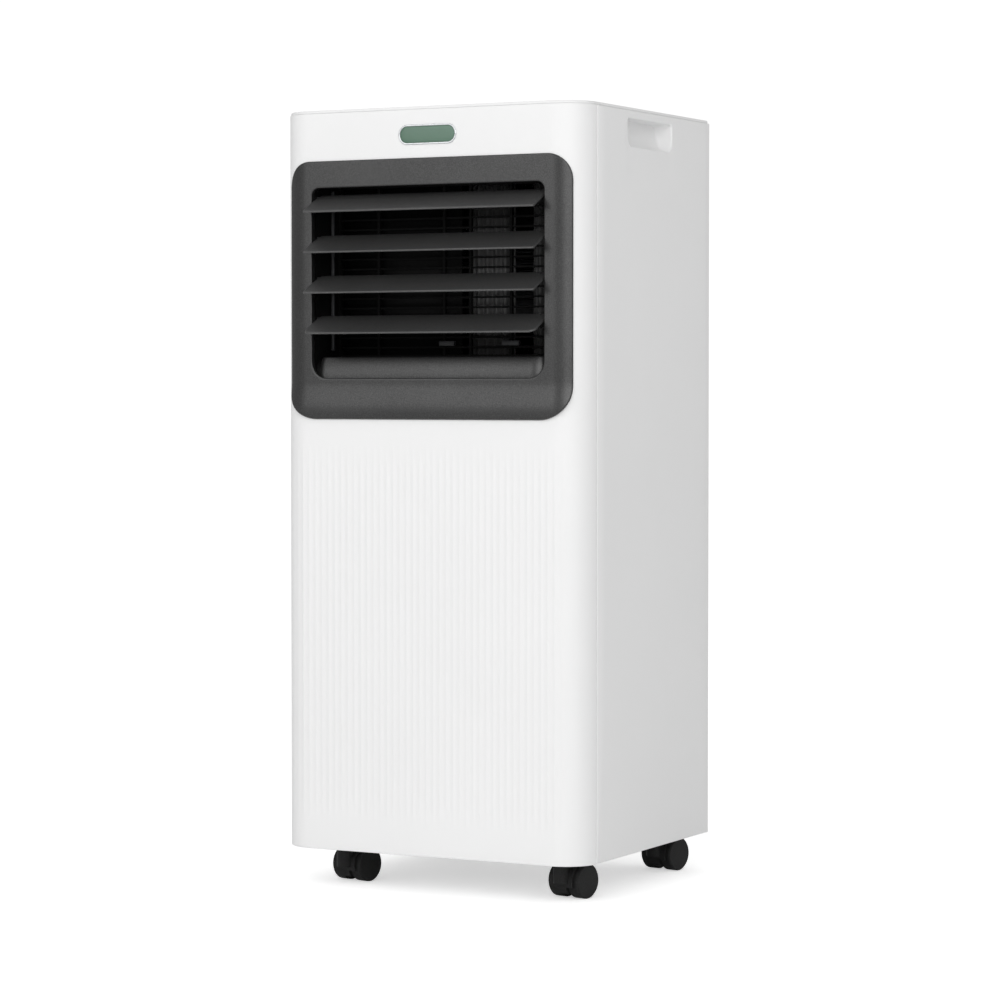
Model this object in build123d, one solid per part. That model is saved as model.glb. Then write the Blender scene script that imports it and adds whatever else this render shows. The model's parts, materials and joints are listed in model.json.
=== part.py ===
"""Portable air conditioner on four swivel castors, built as separate pieces.

Frame: millimetres, origin on the floor under the middle of the whole footprint
(louvres and castors included), +Z up, the air outlet faces -Y, +X is to the right of
a person who faces the outlet. Sizes below are set out from the cabinet's own middle,
and every piece moves back by ORIGIN_Y as it is written.
"""
import math
import os

from build123d import *

# ---------------------------------------------------------------- driving sizes
WIDTH = 300.0            # cabinet, along X
DEPTH = 264.0            # cabinet, along Y
HEIGHT = 685.0           # floor to the top of the lid
ORIGIN_Y = 6.5           # footprint middle is this far in front of the cabinet's middle
CLEAR = 35.0             # floor to the underside of the cabinet
WALL = 2.5               # moulded panel thickness
R_FRONT = 30.0           # front vertical corners
R_REAR = 7.0             # rear vertical corners
GAP = 0.4                # visible gap between neighbouring panels
RUN = 0.05               # radial clearance of a pin in its bearing
LID_T = 2.5              # lid plate

X_OUT = WIDTH / 2
Y_OUT = DEPTH / 2
X_IN = X_OUT - WALL
Y_IN = Y_OUT - WALL
PANEL_TOP = HEIGHT - LID_T - 0.5
SEAM_Y = -Y_OUT + R_FRONT             # front panel meets the side panel here
REAR_SEAM_Y = Y_OUT - R_REAR          # side panel meets the rear panel here

# air outlet (heights above the floor)
BEZEL_Z0, BEZEL_Z1 = CLEAR + 379.5, CLEAR + 605.6
BEZEL_HALF = 138.5
BEZEL_PROUD = 1.4
BEZEL_R_TOP, BEZEL_R_LOW = 23.0, 30.0
CHIN = 2.6                            # how far the lower band swells past the rest of the bezel
OPEN_Z0, OPEN_Z1 = CLEAR + 415.5, CLEAR + 582.0
OPEN_HALF = 114.5
LEDGE_Z = CLEAR + 433.0
OPEN_R_TOP, OPEN_R_LOW = 7.0, 15.0
DUCT_Y1 = -64.0                       # rear end of the duct
DUCT_TOP = OPEN_Z1 + 4.6              # leaves room for the link bar with the louvres shut
DUCT_HALF = OPEN_HALF + 0.6
GUARD_PITCH = 8.7

# louvres
LOUVRE_PITCH = 35.3
LOUVRE_TOP_Z = CLEAR + 573.7          # pivot of the top louvre
LOUVRE_Y = -121.6                     # pivots
LOUVRE_HALF = 113.2
LOUVRE_TILT = 24.7                    # rest slope, front edge down
LOUVRE_FRONT, LOUVRE_REAR = 31.2, 4.0
LOUVRE_T = 2.0
LEVER = 10.0
LEVER_DROP = 30.0                     # lever sits this far below the blade plane
LINK_X0, LINK_X1 = 107.0, 109.5
PIN_R = 1.25

# castors
CASTOR_X, CASTOR_YF, CASTOR_YR = 108.6, 87.0, 102.0
CASTOR_TRAIL = 16.0
CASTOR_YAW = -12.3                    # axle direction measured from +X
WHEEL_R, WHEEL_W, WHEEL_IN = 15.2, 11.0, 5.6
HOOD_R0, HOOD_R1 = 15.8, 17.2
AXLE_R = 1.5
STEM_R = 4.0

# front moulding
FLUTE_X, FLUTE_PITCH, FLUTE_COUNT, FLUTE_DEPTH = -118.4, 6.55, 37, 0.35
FLUTE_Z = (CLEAR + 34.0, CLEAR + 346.0)
BADGE_X, BADGE_HALF = 1.2, 28.7
BADGE_Z = (CLEAR + 616.6, CLEAR + 634.6)

# finger pocket in each side: y0, y1, z0, z1 of its mouth and of its back
POCKET_MOUTH = (-42.3, 47.5, CLEAR + 616.2, CLEAR + 640.2)
POCKET_BACK = (-37.0, 43.0, CLEAR + 626.0, CLEAR + 639.6)
POCKET_DEPTH = 16.0

# rear panel openings
LOWER_Z = (CLEAR + 40.0, CLEAR + 252.0)
UPPER_Z = (CLEAR + 402.0, CLEAR + 606.0)
GRILLE_HALF = 115.0
PORT_X, PORT_Z, PORT_R = 40.0, CLEAR + 327.0, 62.0
SIDE_X = -118.0                       # drain and cord holes sit on this upright
DRAIN_Z, DRAIN_R = CLEAR + 21.0, 6.0
CORD_Z, CORD_R = CLEAR + 327.0, 7.0

# inside
TRAY_Z = CLEAR + 398.0                # floor between the two compartments
BLOWER_Y, BLOWER_Z, BLOWER_R = -8.0, CLEAR + 508.0, 42.0
FAN_X, FAN_Z, FAN_R = 62.0, CLEAR + 150.0, 56.0
FAN_Y0, FAN_Y1 = -14.0, 30.0
COIL_HALF, COIL_ROWS = 112.0, 8
EVAP_Z = (TRAY_Z + 8.0, CLEAR + 602.0)
COND_Z = (CLEAR + 24.0, CLEAR + 248.0)
COMP_X, COMP_Y, COMP_R = -72.0, -42.0, 46.0

SCREWS = [(x, CLEAR + z) for x in (-134.0, 134.0) for z in (30.0, 260.0, 380.0, 632.0)]
SCREW_R, SCREW_HEAD = 1.6, 3.4

OUT = {}


def box(x0, x1, y0, y1, z0, z1):
    """Axis-aligned block between two corners."""
    return Pos((x0 + x1) / 2, (y0 + y1) / 2, (z0 + z1) / 2) * Box(x1 - x0, y1 - y0, z1 - z0)


def rod(x, y, z, r, length, axis="Z"):
    """Cylinder starting at a point and running along +X, +Y or +Z."""
    turn = {"X": Rot(0, 90, 0), "Y": Rot(-90, 0, 0), "Z": Rot(0, 0, 0)}[axis]
    up = Cylinder(r, length, align=(Align.CENTER, Align.CENTER, Align.MIN))
    return Pos(x, y, z) * turn * up


def plan(inset):
    """Cabinet outline seen from above, inset all round, as a face at z = 0."""
    x, y = X_OUT - inset, Y_OUT - inset
    rf, rr = R_FRONT - inset, max(R_REAR - inset, 1.0)
    with BuildSketch() as sk:
        with BuildLine():
            l1 = Line((-x + rf, -y), (x - rf, -y))
            a1 = RadiusArc(l1 @ 1, (x, -y + rf), -rf)
            l2 = Line(a1 @ 1, (x, y - rr))
            a2 = RadiusArc(l2 @ 1, (x - rr, y), -rr)
            l3 = Line(a2 @ 1, (-x + rr, y))
            a3 = RadiusArc(l3 @ 1, (-x, y - rr), -rr)
            l4 = Line(a3 @ 1, (-x, -y + rf))
            RadiusArc(l4 @ 1, l1 @ 0, -rf)
        make_face()
    return sk.sketch


def prism(face, z0, z1):
    """Upright prism on a plan outline."""
    return Pos(0, 0, z0) * extrude(face, z1 - z0)


def shell(z0, z1, outer=0.0, inner=WALL):
    """Band of cabinet wall between two heights."""
    return prism(plan(outer), z0, z1) - prism(plan(inner), z0 - 1, z1 + 1)


def window(half, z0, z1, r_top, r_bottom, y0, y1, x_mid=0.0):
    """Prism along Y on a rectangle in XZ with its own top and bottom corner radii."""
    with BuildSketch(Plane.XZ) as sk:
        with BuildLine():
            p1 = Line((x_mid - half + r_bottom, z0), (x_mid + half - r_bottom, z0))
            c1 = RadiusArc(p1 @ 1, (x_mid + half, z0 + r_bottom), -r_bottom)
            p2 = Line(c1 @ 1, (x_mid + half, z1 - r_top))
            c2 = RadiusArc(p2 @ 1, (x_mid + half - r_top, z1), -r_top)
            p3 = Line(c2 @ 1, (x_mid - half + r_top, z1))
            c3 = RadiusArc(p3 @ 1, (x_mid - half, z1 - r_top), -r_top)
            p4 = Line(c3 @ 1, (x_mid - half, z0 + r_bottom))
            RadiusArc(p4 @ 1, p1 @ 0, -r_bottom)
        make_face()
    return Pos(0, y1, 0) * extrude(sk.sketch, y1 - y0)


def fuse(parts):
    """Join a list of solids into one shape."""
    whole = parts[0]
    return whole.fuse(*parts[1:]) if len(parts) > 1 else whole


def keep(name, shape):
    """Record one finished node."""
    OUT[name] = shape


# ------------------------------------------------------------------- cabinet
def band(y0, y1):
    """Length of cabinet wall between two depths, over the full panel height."""
    return shell(CLEAR, PANEL_TOP) & box(-X_OUT - 1, X_OUT + 1, y0, y1, 0, HEIGHT)


def flute(x):
    """Cutter for one shallow upright groove, steep on its left flank."""
    with BuildSketch() as sk:
        with BuildLine():
            Polyline((x - 0.5, -Y_OUT - 0.1), (x + 2.2, -Y_OUT - 0.1), (x + 0.2, -Y_OUT + FLUTE_DEPTH),
                     close=True)
        make_face()
    return prism(sk.sketch, *FLUTE_Z)


def badge_outline(inset, y0, y1):
    """Lozenge of the badge, inset all round, as a prism along Y."""
    z0, z1 = BADGE_Z[0] + inset, BADGE_Z[1] - inset
    r = (z1 - z0) / 2 - 0.1
    return window(BADGE_HALF - inset, z0, z1, r, r, y0, y1, BADGE_X)


def front_panel():
    """Front moulding that wraps both front corners, fluted below the outlet."""
    panel = band(-Y_OUT - 1, SEAM_Y - GAP / 2)
    panel -= window(BEZEL_HALF + GAP, BEZEL_Z0 - GAP, BEZEL_Z1 + GAP, BEZEL_R_TOP + GAP,
                    BEZEL_R_LOW + GAP, -Y_OUT - 5, SEAM_Y - 2)
    panel -= badge_outline(0.0, -Y_OUT - 1, -Y_OUT + 0.8)
    keep("front_panel", panel - [flute(FLUTE_X + FLUTE_PITCH * i) for i in range(FLUTE_COUNT)])


def pocket(side, grow, x_mouth):
    """Finger pocket block: full-size mouth, shorter and higher at the back."""
    faces = []
    for depth, (y0, y1, z0, z1) in ((0.0, POCKET_MOUTH), (POCKET_DEPTH + grow, POCKET_BACK)):
        middle = (side * (x_mouth - depth), (y0 + y1) / 2, (z0 + z1) / 2)
        frame = Plane(origin=middle, x_dir=(0, 1, 0), z_dir=(1, 0, 0))
        faces.append(frame * RectangleRounded(y1 - y0 + 2 * grow, z1 - z0 + 2 * grow, 4.0 + grow))
    return loft(faces)


def screw_post(x, z, side):
    """Boss inside a side panel that takes one rear-panel screw."""
    wide = sorted((side * 126, side * X_IN))
    slim = sorted((side * 126, side * 142))
    post = box(*wide, 110, REAR_SEAM_Y - GAP, z - 6, z + 6) + box(*slim, 110, Y_IN, z - 6, z + 6)
    return post - rod(x, Y_OUT - 14, z, SCREW_R + 0.06, 14, "Y")


def side_panel(name, side):
    """Flat side moulding with a finger pocket near the top."""
    half = box(*sorted((0, side * (X_OUT + 1))), -Y_OUT, Y_OUT, 0, HEIGHT)
    panel = band(SEAM_Y + GAP / 2, REAR_SEAM_Y - GAP / 2) & half
    panel += pocket(side, 2.0, X_OUT - 1.0)
    panel -= pocket(side, 0.0, X_OUT + 0.01)
    for x, z in SCREWS:
        if x * side > 0:
            panel += screw_post(x, z, side)
    keep(name, panel)


def rear_panel():
    """Rear moulding: two grille openings with ledges, exhaust port, drain and cord holes."""
    body = band(REAR_SEAM_Y + GAP / 2, Y_OUT + 1)
    for z0, z1 in (LOWER_Z, UPPER_Z):
        body += window(GRILLE_HALF + 2, z0 - 2, z1 + 2, 8, 8, Y_OUT - 12, Y_OUT - 1)
    for z0, z1 in (LOWER_Z, UPPER_Z):
        body -= window(GRILLE_HALF, z0, z1, 6, 6, Y_OUT - 10, Y_OUT + 1)
        body -= window(GRILLE_HALF - 5, z0 + 5, z1 - 5, 4, 4, Y_OUT - 14, Y_OUT + 1)
    body -= rod(PORT_X, Y_OUT - 12, PORT_Z, PORT_R + 6.0, 14, "Y")
    body -= rod(SIDE_X, Y_OUT - 6, DRAIN_Z, 9.6, 8, "Y")
    body -= rod(SIDE_X, Y_OUT - 6, CORD_Z, CORD_R, 8, "Y")
    for x, z in SCREWS:
        body -= rod(x, Y_OUT - 6, z, SCREW_R + 0.1, 8, "Y")
        body -= rod(x, Y_OUT - 1.4, z, SCREW_HEAD + 0.2, 3, "Y")
    keep("rear_panel", body)


def top_lid():
    """Flat lid with eased edges, a locating skirt and the control cut-out."""
    plate = prism(plan(0.8), HEIGHT - LID_T, HEIGHT)
    rim = plate.edges().group_by(Axis.Z)[-1]
    plate = fillet(rim, 1.2)
    skirt = prism(plan(WALL + 0.4), HEIGHT - 6.5, HEIGHT - LID_T) - prism(plan(WALL + 2.4), HEIGHT - 8, HEIGHT)
    cut = box(-95, 95, -88, -44, HEIGHT - 6, HEIGHT + 1)
    keep("top_lid", plate + skirt - cut)


def base_pan():
    """Moulded floor: raised rim, castor sockets, sump and drain spout."""
    z = CLEAR + 2
    pan = prism(plan(WALL + 0.1), z, CLEAR + 10) - prism(plan(WALL + 3), z + 3, CLEAR + 11)
    for x, y in CASTORS.values():
        pan += rod(x, y, z, 9.0, 19)
    pan += rod(SIDE_X, Y_OUT - 22, DRAIN_Z, DRAIN_R + 2.6, 19.4, "Y")
    pan += box(SIDE_X - 4, SIDE_X + 4, Y_OUT - 22, Y_OUT - 6, z, DRAIN_Z - 7)
    for x in (-60.0, 60.0):
        pan += box(x - 4, x + 4, 78, 106, z, COND_Z[0])
    for x, y in CASTORS.values():
        pan -= rod(x, y, z - 1, STEM_R + RUN, 17.5)
    pan -= rod(SIDE_X, Y_OUT - 18, DRAIN_Z, DRAIN_R, 20, "Y")
    keep("base_pan", pan)


CASTORS = {
    "front_left": (-CASTOR_X, -CASTOR_YF),
    "front_right": (CASTOR_X, -CASTOR_YF),
    "rear_left": (-CASTOR_X, CASTOR_YR),
    "rear_right": (CASTOR_X, CASTOR_YR),
}


def badge():
    """Plain enamelled lozenge on the front, with a raised rim and no lettering."""
    plate = badge_outline(0.3, -Y_OUT - 0.5, -Y_OUT + 0.8)
    field = badge_outline(2.3, -Y_OUT - 1, -Y_OUT - 0.1)
    keep("badge_plate", plate - field)


# ------------------------------------------------------------------ controls
BUTTONS = {"power": -78.0, "mode": -52.0, "fan_speed": -26.0, "temp_down": 52.0, "temp_up": 78.0}
PANEL_Y = -66.0


def stadium(x, y, length, width, z0, z1):
    """Upright slot-shaped block with its long side along Y."""
    return Pos(x, y, z0) * extrude(Rot(0, 0, 90) * SlotOverall(length, width), z1 - z0)


def controls():
    """Fascia, sprung push buttons, display window and the board below them."""
    top = HEIGHT - 0.7
    fascia = box(-94.7, 94.7, PANEL_Y - 21.7, PANEL_Y + 21.7, HEIGHT - 5, top)
    fascia += box(-98, 98, PANEL_Y - 25, PANEL_Y + 25, HEIGHT - 5, HEIGHT - LID_T)
    for sx in (-88.0, 88.0):
        for sy in (-17.0, 17.0):
            fascia += rod(sx, PANEL_Y + sy, HEIGHT - 15.4, 3.0, 11)
    for x in BUTTONS.values():
        fascia -= stadium(x, PANEL_Y, 22.6, 12.6, HEIGHT - 6, HEIGHT)
    fascia -= box(-8, 38, PANEL_Y - 10, PANEL_Y + 10, top - 1.4, HEIGHT)
    fascia -= box(-6, 36, PANEL_Y - 8, PANEL_Y + 8, HEIGHT - 6, HEIGHT)
    keep("control_fascia", fascia)
    keep("display_window", box(-7.9, 37.9, PANEL_Y - 9.9, PANEL_Y + 9.9, top - 1.4, top))
    board = box(-92, 92, PANEL_Y - 20, PANEL_Y + 20, HEIGHT - 17, HEIGHT - 15.4)
    board += box(-4, 34, PANEL_Y - 7, PANEL_Y + 7, HEIGHT - 15.4, HEIGHT - 5.5)
    for name, x in BUTTONS.items():
        cap = stadium(x, PANEL_Y, 22.0, 12.0, HEIGHT - 6.4, HEIGHT - 0.2)
        cap = fillet(cap.edges().group_by(Axis.Z)[-1], 0.8)
        cap += stadium(x, PANEL_Y, 25.0, 15.0, HEIGHT - 7.4, HEIGHT - 5.4)
        cap += rod(x, PANEL_Y, HEIGHT - 10.4, 2.5, 4)
        keep("button_" + name, cap)
        board += box(x - 3, x + 3, PANEL_Y - 3, PANEL_Y + 3, HEIGHT - 15.4, HEIGHT - 11.9)
    keep("control_board", board)


# -------------------------------------------------------------------- outlet
def chin():
    """Swell of the bezel's lower band: one profile run straight, then turned round each corner."""
    y, z_top = -Y_OUT - BEZEL_PROUD, OPEN_Z0 - 4.0
    with BuildSketch(Plane.YZ) as sk:
        with BuildLine():
            front = Spline((y, BEZEL_Z0), (y - CHIN, BEZEL_Z0 + 8.0), (y, z_top),
                           tangents=((-1, 0.4), (0.06, 1), (0, 1)))
            Polyline(front @ 1, (y + 0.8, z_top), (y + 0.8, BEZEL_Z0), front @ 0)
        make_face()
    flat = X_OUT - R_FRONT
    parts = [Pos(-flat, 0, 0) * extrude(sk.sketch, 2 * flat)]
    for side in (-1, 1):
        corner = Axis((side * flat, SEAM_Y, 0), (0, 0, 1))
        parts.append(revolve(Pos(side * flat, 0, 0) * sk.sketch, corner, side * 60))
    return fuse(parts)


def outlet_bezel():
    """Dark frame round the outlet, wrapping a little way round both corners."""
    wrap = shell(BEZEL_Z0 - 1, BEZEL_Z1 + 1, -BEZEL_PROUD)
    outline = window(BEZEL_HALF, BEZEL_Z0, BEZEL_Z1, BEZEL_R_TOP, BEZEL_R_LOW, -Y_OUT - 8, SEAM_Y - 2)
    opening = window(OPEN_HALF, OPEN_Z0, OPEN_Z1, OPEN_R_TOP, OPEN_R_LOW, -Y_OUT - 8, -90)
    keep("outlet_bezel", ((wrap + chin()) & outline) - opening)


def louvre_pivots():
    """Pivot heights, top louvre first."""
    return [LOUVRE_TOP_Z - LOUVRE_PITCH * i for i in range(4)]


def lip_profile():
    """Side view of the duct floor: a quarter-round lip, then level to the rear."""
    y, rise = -Y_IN + 0.01, LEDGE_Z - OPEN_Z0
    with BuildSketch(Plane.YZ) as sk:
        with BuildLine():
            a = Line((y, OPEN_Z0 - 1), (y, OPEN_Z0 + GAP))
            b = ThreePointArc(a @ 1, (y + 0.3 * rise, OPEN_Z0 + 0.72 * rise), (y + rise, LEDGE_Z))
            c = Line(b @ 1, (DUCT_Y1, LEDGE_Z))
            d = Line(c @ 1, (DUCT_Y1, OPEN_Z0 - 1))
            Line(d @ 1, a @ 0)
        make_face()
    return sk.sketch


def outlet_duct():
    """Black plenum behind the bezel with bearing walls and a curved lower lip."""
    flange = window(OPEN_HALF + 5.4, OPEN_Z0 - 8, OPEN_Z1 + 12, 8, 8, -Y_IN, -Y_IN + 2.5)
    tube_wall = window(DUCT_HALF + 2.5, OPEN_Z0 - 2.5, DUCT_TOP + 2.5, 9, 16, -Y_IN, DUCT_Y1)
    bore = window(DUCT_HALF, OPEN_Z0, DUCT_TOP, 7.6, 15, -Y_IN - 1, DUCT_Y1 + 1)
    lip = Pos(-DUCT_HALF, 0, 0) * extrude(lip_profile(), 2 * DUCT_HALF)
    body = flange + tube_wall - bore + (lip & tube_wall)
    for z in louvre_pivots():
        body -= rod(-OPEN_HALF - 5, LOUVRE_Y, z, 1.5 + RUN, 2 * OPEN_HALF + 10, "X")
    keep("outlet_duct", body)


def louvre(index, pivot_z):
    """Blade with two end pivots and a drive lever with its pin, sloping down to the front."""
    front_r = 6.0 if index == 4 else 1.0
    blade = box(-LOUVRE_HALF, LOUVRE_HALF, -LOUVRE_FRONT, LOUVRE_REAR, -LOUVRE_T / 2, LOUVRE_T / 2)
    corners = blade.edges().filter_by(Axis.Z).group_by(Axis.Y)[0]
    blade = fillet(corners, front_r)
    nose = blade.edges().group_by(Axis.Y)[0].filter_by(Axis.X)
    blade = chamfer(nose, 0.5)
    blade += rod(-OPEN_HALF - 2.6, 0, 0, 1.5, 2 * OPEN_HALF + 5.2, "X")
    arm = math.radians(-LEVER_DROP)
    tip = (LEVER * math.cos(arm), LEVER * math.sin(arm))
    lever = Pos(104, tip[0] / 2, tip[1] / 2) * Rot(-LEVER_DROP, 0, 0) * Box(3.0, LEVER + 3.0, 3.4)
    blade += lever
    blade += rod(105, tip[0], tip[1], PIN_R, LINK_X1 - 105 + 0.8, "X")
    return Pos(0, LOUVRE_Y, pivot_z) * Rot(LOUVRE_TILT, 0, 0) * blade


def louvres():
    """Four blades and the upright bar that ties their levers together."""
    arm = math.radians(LOUVRE_TILT - LEVER_DROP)
    dy, dz = LEVER * math.cos(arm), LEVER * math.sin(arm)
    zs = louvre_pivots()
    for i, z in enumerate(zs, 1):
        keep("louvre_%d" % i, louvre(i, z))
    y = LOUVRE_Y + dy
    bar = box(LINK_X0, LINK_X1, y - 2.5, y + 2.5, zs[-1] + dz - 3.5, zs[0] + dz + 3.5)
    for z in zs:
        bar -= rod(LINK_X0 - 1, y, z + dz, PIN_R + RUN, 5, "X")
    keep("louvre_link_bar", bar)


def guard_grille():
    """Finger guard across the duct behind the louvres: wires on upright ribs."""
    y = DUCT_Y1 - 20
    half, z0, z1 = DUCT_HALF - 0.1, LEDGE_Z + 0.1, DUCT_TOP - 0.1
    parts = [box(-half, half, y - 1, y + 1, z1 - 3, z1), box(-half, half, y - 1, y + 1, z0, z0 + 3)]
    for i in range(1, int((z1 - z0) / GUARD_PITCH)):
        z = z0 + GUARD_PITCH * i
        parts.append(box(-half, half, y - 0.8, y + 0.8, z, z + 1.6))
    for x in (-half + 1.2, -74, -8, 18, 58, half - 1.2):
        parts.append(box(x - 1.2, x + 1.2, y - 1.6, y + 1.6, z0, z1))
    keep("guard_grille", fuse(parts) & window(half, z0, z1, 7.5, 1.0, y - 3, y + 3))


# ---------------------------------------------------------------- upper works
def ring(x, y, z, r1, r0, length, axis):
    """Tube along an axis."""
    shift = {"X": (-1, 0, 0), "Y": (0, -1, 0), "Z": (0, 0, -1)}[axis]
    inner = rod(x + shift[0], y + shift[1], z + shift[2], r0, length + 2, axis)
    return rod(x, y, z, r1, length, axis) - inner


def blower():
    """Cross-flow wheel, its motor and the scroll that leads its air into the duct."""
    x0, x1 = -96.0, 100.0
    discs = [rod(x, BLOWER_Y, BLOWER_Z, BLOWER_R, 2, "X") for x in (x0, x0 + 97, x1 - 2)]
    blades = []
    for k in range(24):
        a = 2 * math.pi * k / 24
        spot = Pos((x0 + x1) / 2, BLOWER_Y + 37 * math.cos(a), BLOWER_Z + 37 * math.sin(a))
        blades.append(spot * Rot(math.degrees(a) + 35, 0, 0) * Box(x1 - x0, 8.0, 1.2))
    shaft = rod(-119, BLOWER_Y, BLOWER_Z, 4, 236, "X")
    keep("blower_wheel", fuse(discs + blades + [shaft]))
    case = rod(-141, BLOWER_Y, BLOWER_Z, 30, 29, "X")
    case += box(-141, -119, BLOWER_Y - 20, BLOWER_Y + 20, BLOWER_Z - 44, BLOWER_Z)
    keep("blower_motor", case - rod(-120, BLOWER_Y, BLOWER_Z, 4 + RUN, 10, "X"))
    r = BLOWER_R + 5
    out = []
    for x in (-107.0, 105.0):
        cheek = box(x, x + 3, DUCT_Y1, 48, LEDGE_Z - 8, OPEN_Z1 + 3)
        cheek -= rod(x - 1, BLOWER_Y, BLOWER_Z, 8 if x < 0 else 4 + RUN, 5, "X")
        out.append(cheek)
    back = ring(-104, BLOWER_Y, BLOWER_Z, r + 2, r, 209, "X")
    back -= box(-105, 106, DUCT_Y1 - 10, 60, BLOWER_Z - 4, BLOWER_Z + 70)
    back -= box(-105, 106, DUCT_Y1 - 10, BLOWER_Y, BLOWER_Z - 70, BLOWER_Z + 70)
    floor = box(-104, 105, DUCT_Y1, BLOWER_Y, BLOWER_Z - r - 2, BLOWER_Z - r)
    roof = box(-104, 105, DUCT_Y1, BLOWER_Y - 30, OPEN_Z1 - 4, OPEN_Z1 - 2)
    tongue = box(-104, 105, BLOWER_Y - 32, BLOWER_Y - 30, BLOWER_Z + 40, OPEN_Z1 - 2)
    foot = [box(x, x + 3, DUCT_Y1 + 4, 40, TRAY_Z + 3, LEDGE_Z - 8) for x in (-107.0, 105.0)]
    keep("blower_scroll", fuse(out + [back, floor, roof, tongue] + foot))


def coil_ends(z0, z1):
    """Heights of the lowest and highest tube of a coil."""
    step = (z1 - z0) / COIL_ROWS
    return z0 + step / 2, z1 - step / 2


def coil(y0, y1, z0, z1):
    """Finned heat exchanger: two end plates, fins and tubes with return bends."""
    x0, x1, rows = -COIL_HALF, COIL_HALF, COIL_ROWS
    count = int((x1 - x0 - 8) / 5)
    parts = [box(x0, x0 + 1.5, y0, y1, z0, z1), box(x1 - 1.5, x1, y0, y1, z0, z1)]
    for k in range(1, count):
        x = x0 + 4 + 5 * k
        parts.append(box(x - 0.3, x + 0.3, y0, y1, z0, z1))
    step = (z1 - z0) / rows
    zs = [z0 + step * (k + 0.5) for k in range(rows)]
    for z in zs:
        parts.append(rod(x0 - 4, (y0 + y1) / 2, z, 3.5, x1 - x0 + 8, "X"))
    for k, (za, zb) in enumerate(zip(zs[:-1], zs[1:])):
        x = x0 - 4 if k % 2 else x1 + 4
        bend = Pos(x, (y0 + y1) / 2, (za + zb) / 2) * Rot(90, 0, 0) * Torus((zb - za) / 2, 3.5)
        side = box(x - 40, x, 0, 200, 0, 800) if k % 2 else box(x, x + 40, 0, 200, 0, 800)
        parts.append(bend & side)
    return fuse(parts)


def middle_tray():
    """Partition that carries the blower and catches water from the evaporator."""
    z = TRAY_Z
    tray = prism(plan(WALL + 0.5), z, z + 3) & box(-X_OUT, X_OUT, -Y_OUT, Y_OUT - 12.5, z, z + 4)
    tray -= box(-X_OUT, -124, 40, Y_OUT, z - 1, z + 4)
    tray += box(-122, 122, 52, 55, z, z + 14) + box(-122, 122, 101, 104, z, z + 14)
    tray += box(-122, -119, 52, 104, z, z + 14) + box(119, 122, 52, 104, z, z + 14)
    for x in (-60.0, 60.0):
        tray += box(x - 4, x + 4, 60, 98, z, z + 8)
    tray += box(-141, -119, BLOWER_Y - 20, BLOWER_Y + 20, z, BLOWER_Z - 44)
    keep("middle_tray", tray)


def cassette(name, z0, z1):
    """Lift-out intake grille with slanted bars, and the filter screen clipped behind it."""
    y1 = Y_OUT - 0.1
    half, low, high = GRILLE_HALF - GAP, z0 + GAP, z1 - GAP
    parts = [window(half, low, high, 5.6, 5.6, y1 - 7, y1)
             - window(half - 7, low + 7, high - 7, 3, 3, y1 - 8, y1 + 1)]
    for k in range(int((high - low - 14) / 9) + 1):
        parts.append(Pos(0, y1 - 3.2, low + 9 + 9 * k) * Rot(28, 0, 0) * Box(2 * half - 13, 6.5, 1.6))
    for x in (-53.0, 0.0, 53.0):
        parts.append(box(x - 1.2, x + 1.2, y1 - 6, y1 - 0.5, low + 6, high - 6))
    keep(name + "_intake_grille", fuse(parts))
    screen = box(-half + 4, half - 4, y1 - 9, y1 - 7, low + 4, high - 4)
    for k in range(4):
        x = -half + 8 + 53.1 * k
        screen -= box(x, x + 50, y1 - 10, y1 - 7.6, low + 8, high - 8)
    keep(name + "_filter_screen", screen)


# ---------------------------------------------------------------- lower works
def compressor():
    """Hermetic compressor can with its accumulator, on three rubber feet."""
    z = CLEAR + 14
    can = rod(COMP_X, COMP_Y, z + 3, COMP_R, 150)
    can = fillet(can.edges().filter_by(GeomType.CIRCLE), 14)
    plate = Pos(COMP_X, COMP_Y, z + 1.5) * Box(70, 70, 3)
    acc = rod(COMP_X + 12, COMP_Y + 62, z + 40, 13, 80)
    acc = fillet(acc.edges().filter_by(GeomType.CIRCLE), 8)
    strap = box(COMP_X + 6, COMP_X + 14, COMP_Y + 40, COMP_Y + 52, z + 70, z + 80)
    stub = rod(COMP_X, COMP_Y, z + 150, 5, 10)
    keep("compressor", fuse([can, plate, acc, strap, stub]))
    feet = []
    for x, y in ((-29, -29), (29, -29), (-29, 29), (29, 29)):
        feet.append(rod(COMP_X + x, COMP_Y + y, CLEAR + 5.02, 8, 8.96))
    keep("compressor_feet", Compound(children=feet))


def lower_fan():
    """Centrifugal wheel and motor that draw air over the compressor side."""
    hub = rod(FAN_X, FAN_Y0 + 2, FAN_Z, FAN_R, 2, "Y")
    rim = ring(FAN_X, FAN_Y1 - 5, FAN_Z, FAN_R, FAN_R - 8, 2, "Y")
    boss = rod(FAN_X, FAN_Y0 + 2, FAN_Z, 9, 18, "Y")
    blades = []
    for k in range(22):
        a = 2 * math.pi * k / 22
        spot = Pos(FAN_X + 51 * math.cos(a), (FAN_Y0 + FAN_Y1) / 2 - 1, FAN_Z + 51 * math.sin(a))
        blades.append(spot * Rot(0, -math.degrees(a) - 30, 0) * Box(9, FAN_Y1 - FAN_Y0 - 6, 1.2))
    wheel = fuse([hub, rim, boss] + blades) - rod(FAN_X, FAN_Y0 - 2, FAN_Z, 4, 30, "Y")
    wheel += rod(FAN_X, FAN_Y0 - 20, FAN_Z, 4, 38, "Y")
    keep("exhaust_fan_wheel", wheel)
    motor = rod(FAN_X, FAN_Y0 - 54, FAN_Z, 33, 50, "Y")
    keep("exhaust_fan_motor", motor - rod(FAN_X, FAN_Y0 - 22, FAN_Z, 4 + RUN, 20, "Y"))


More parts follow.
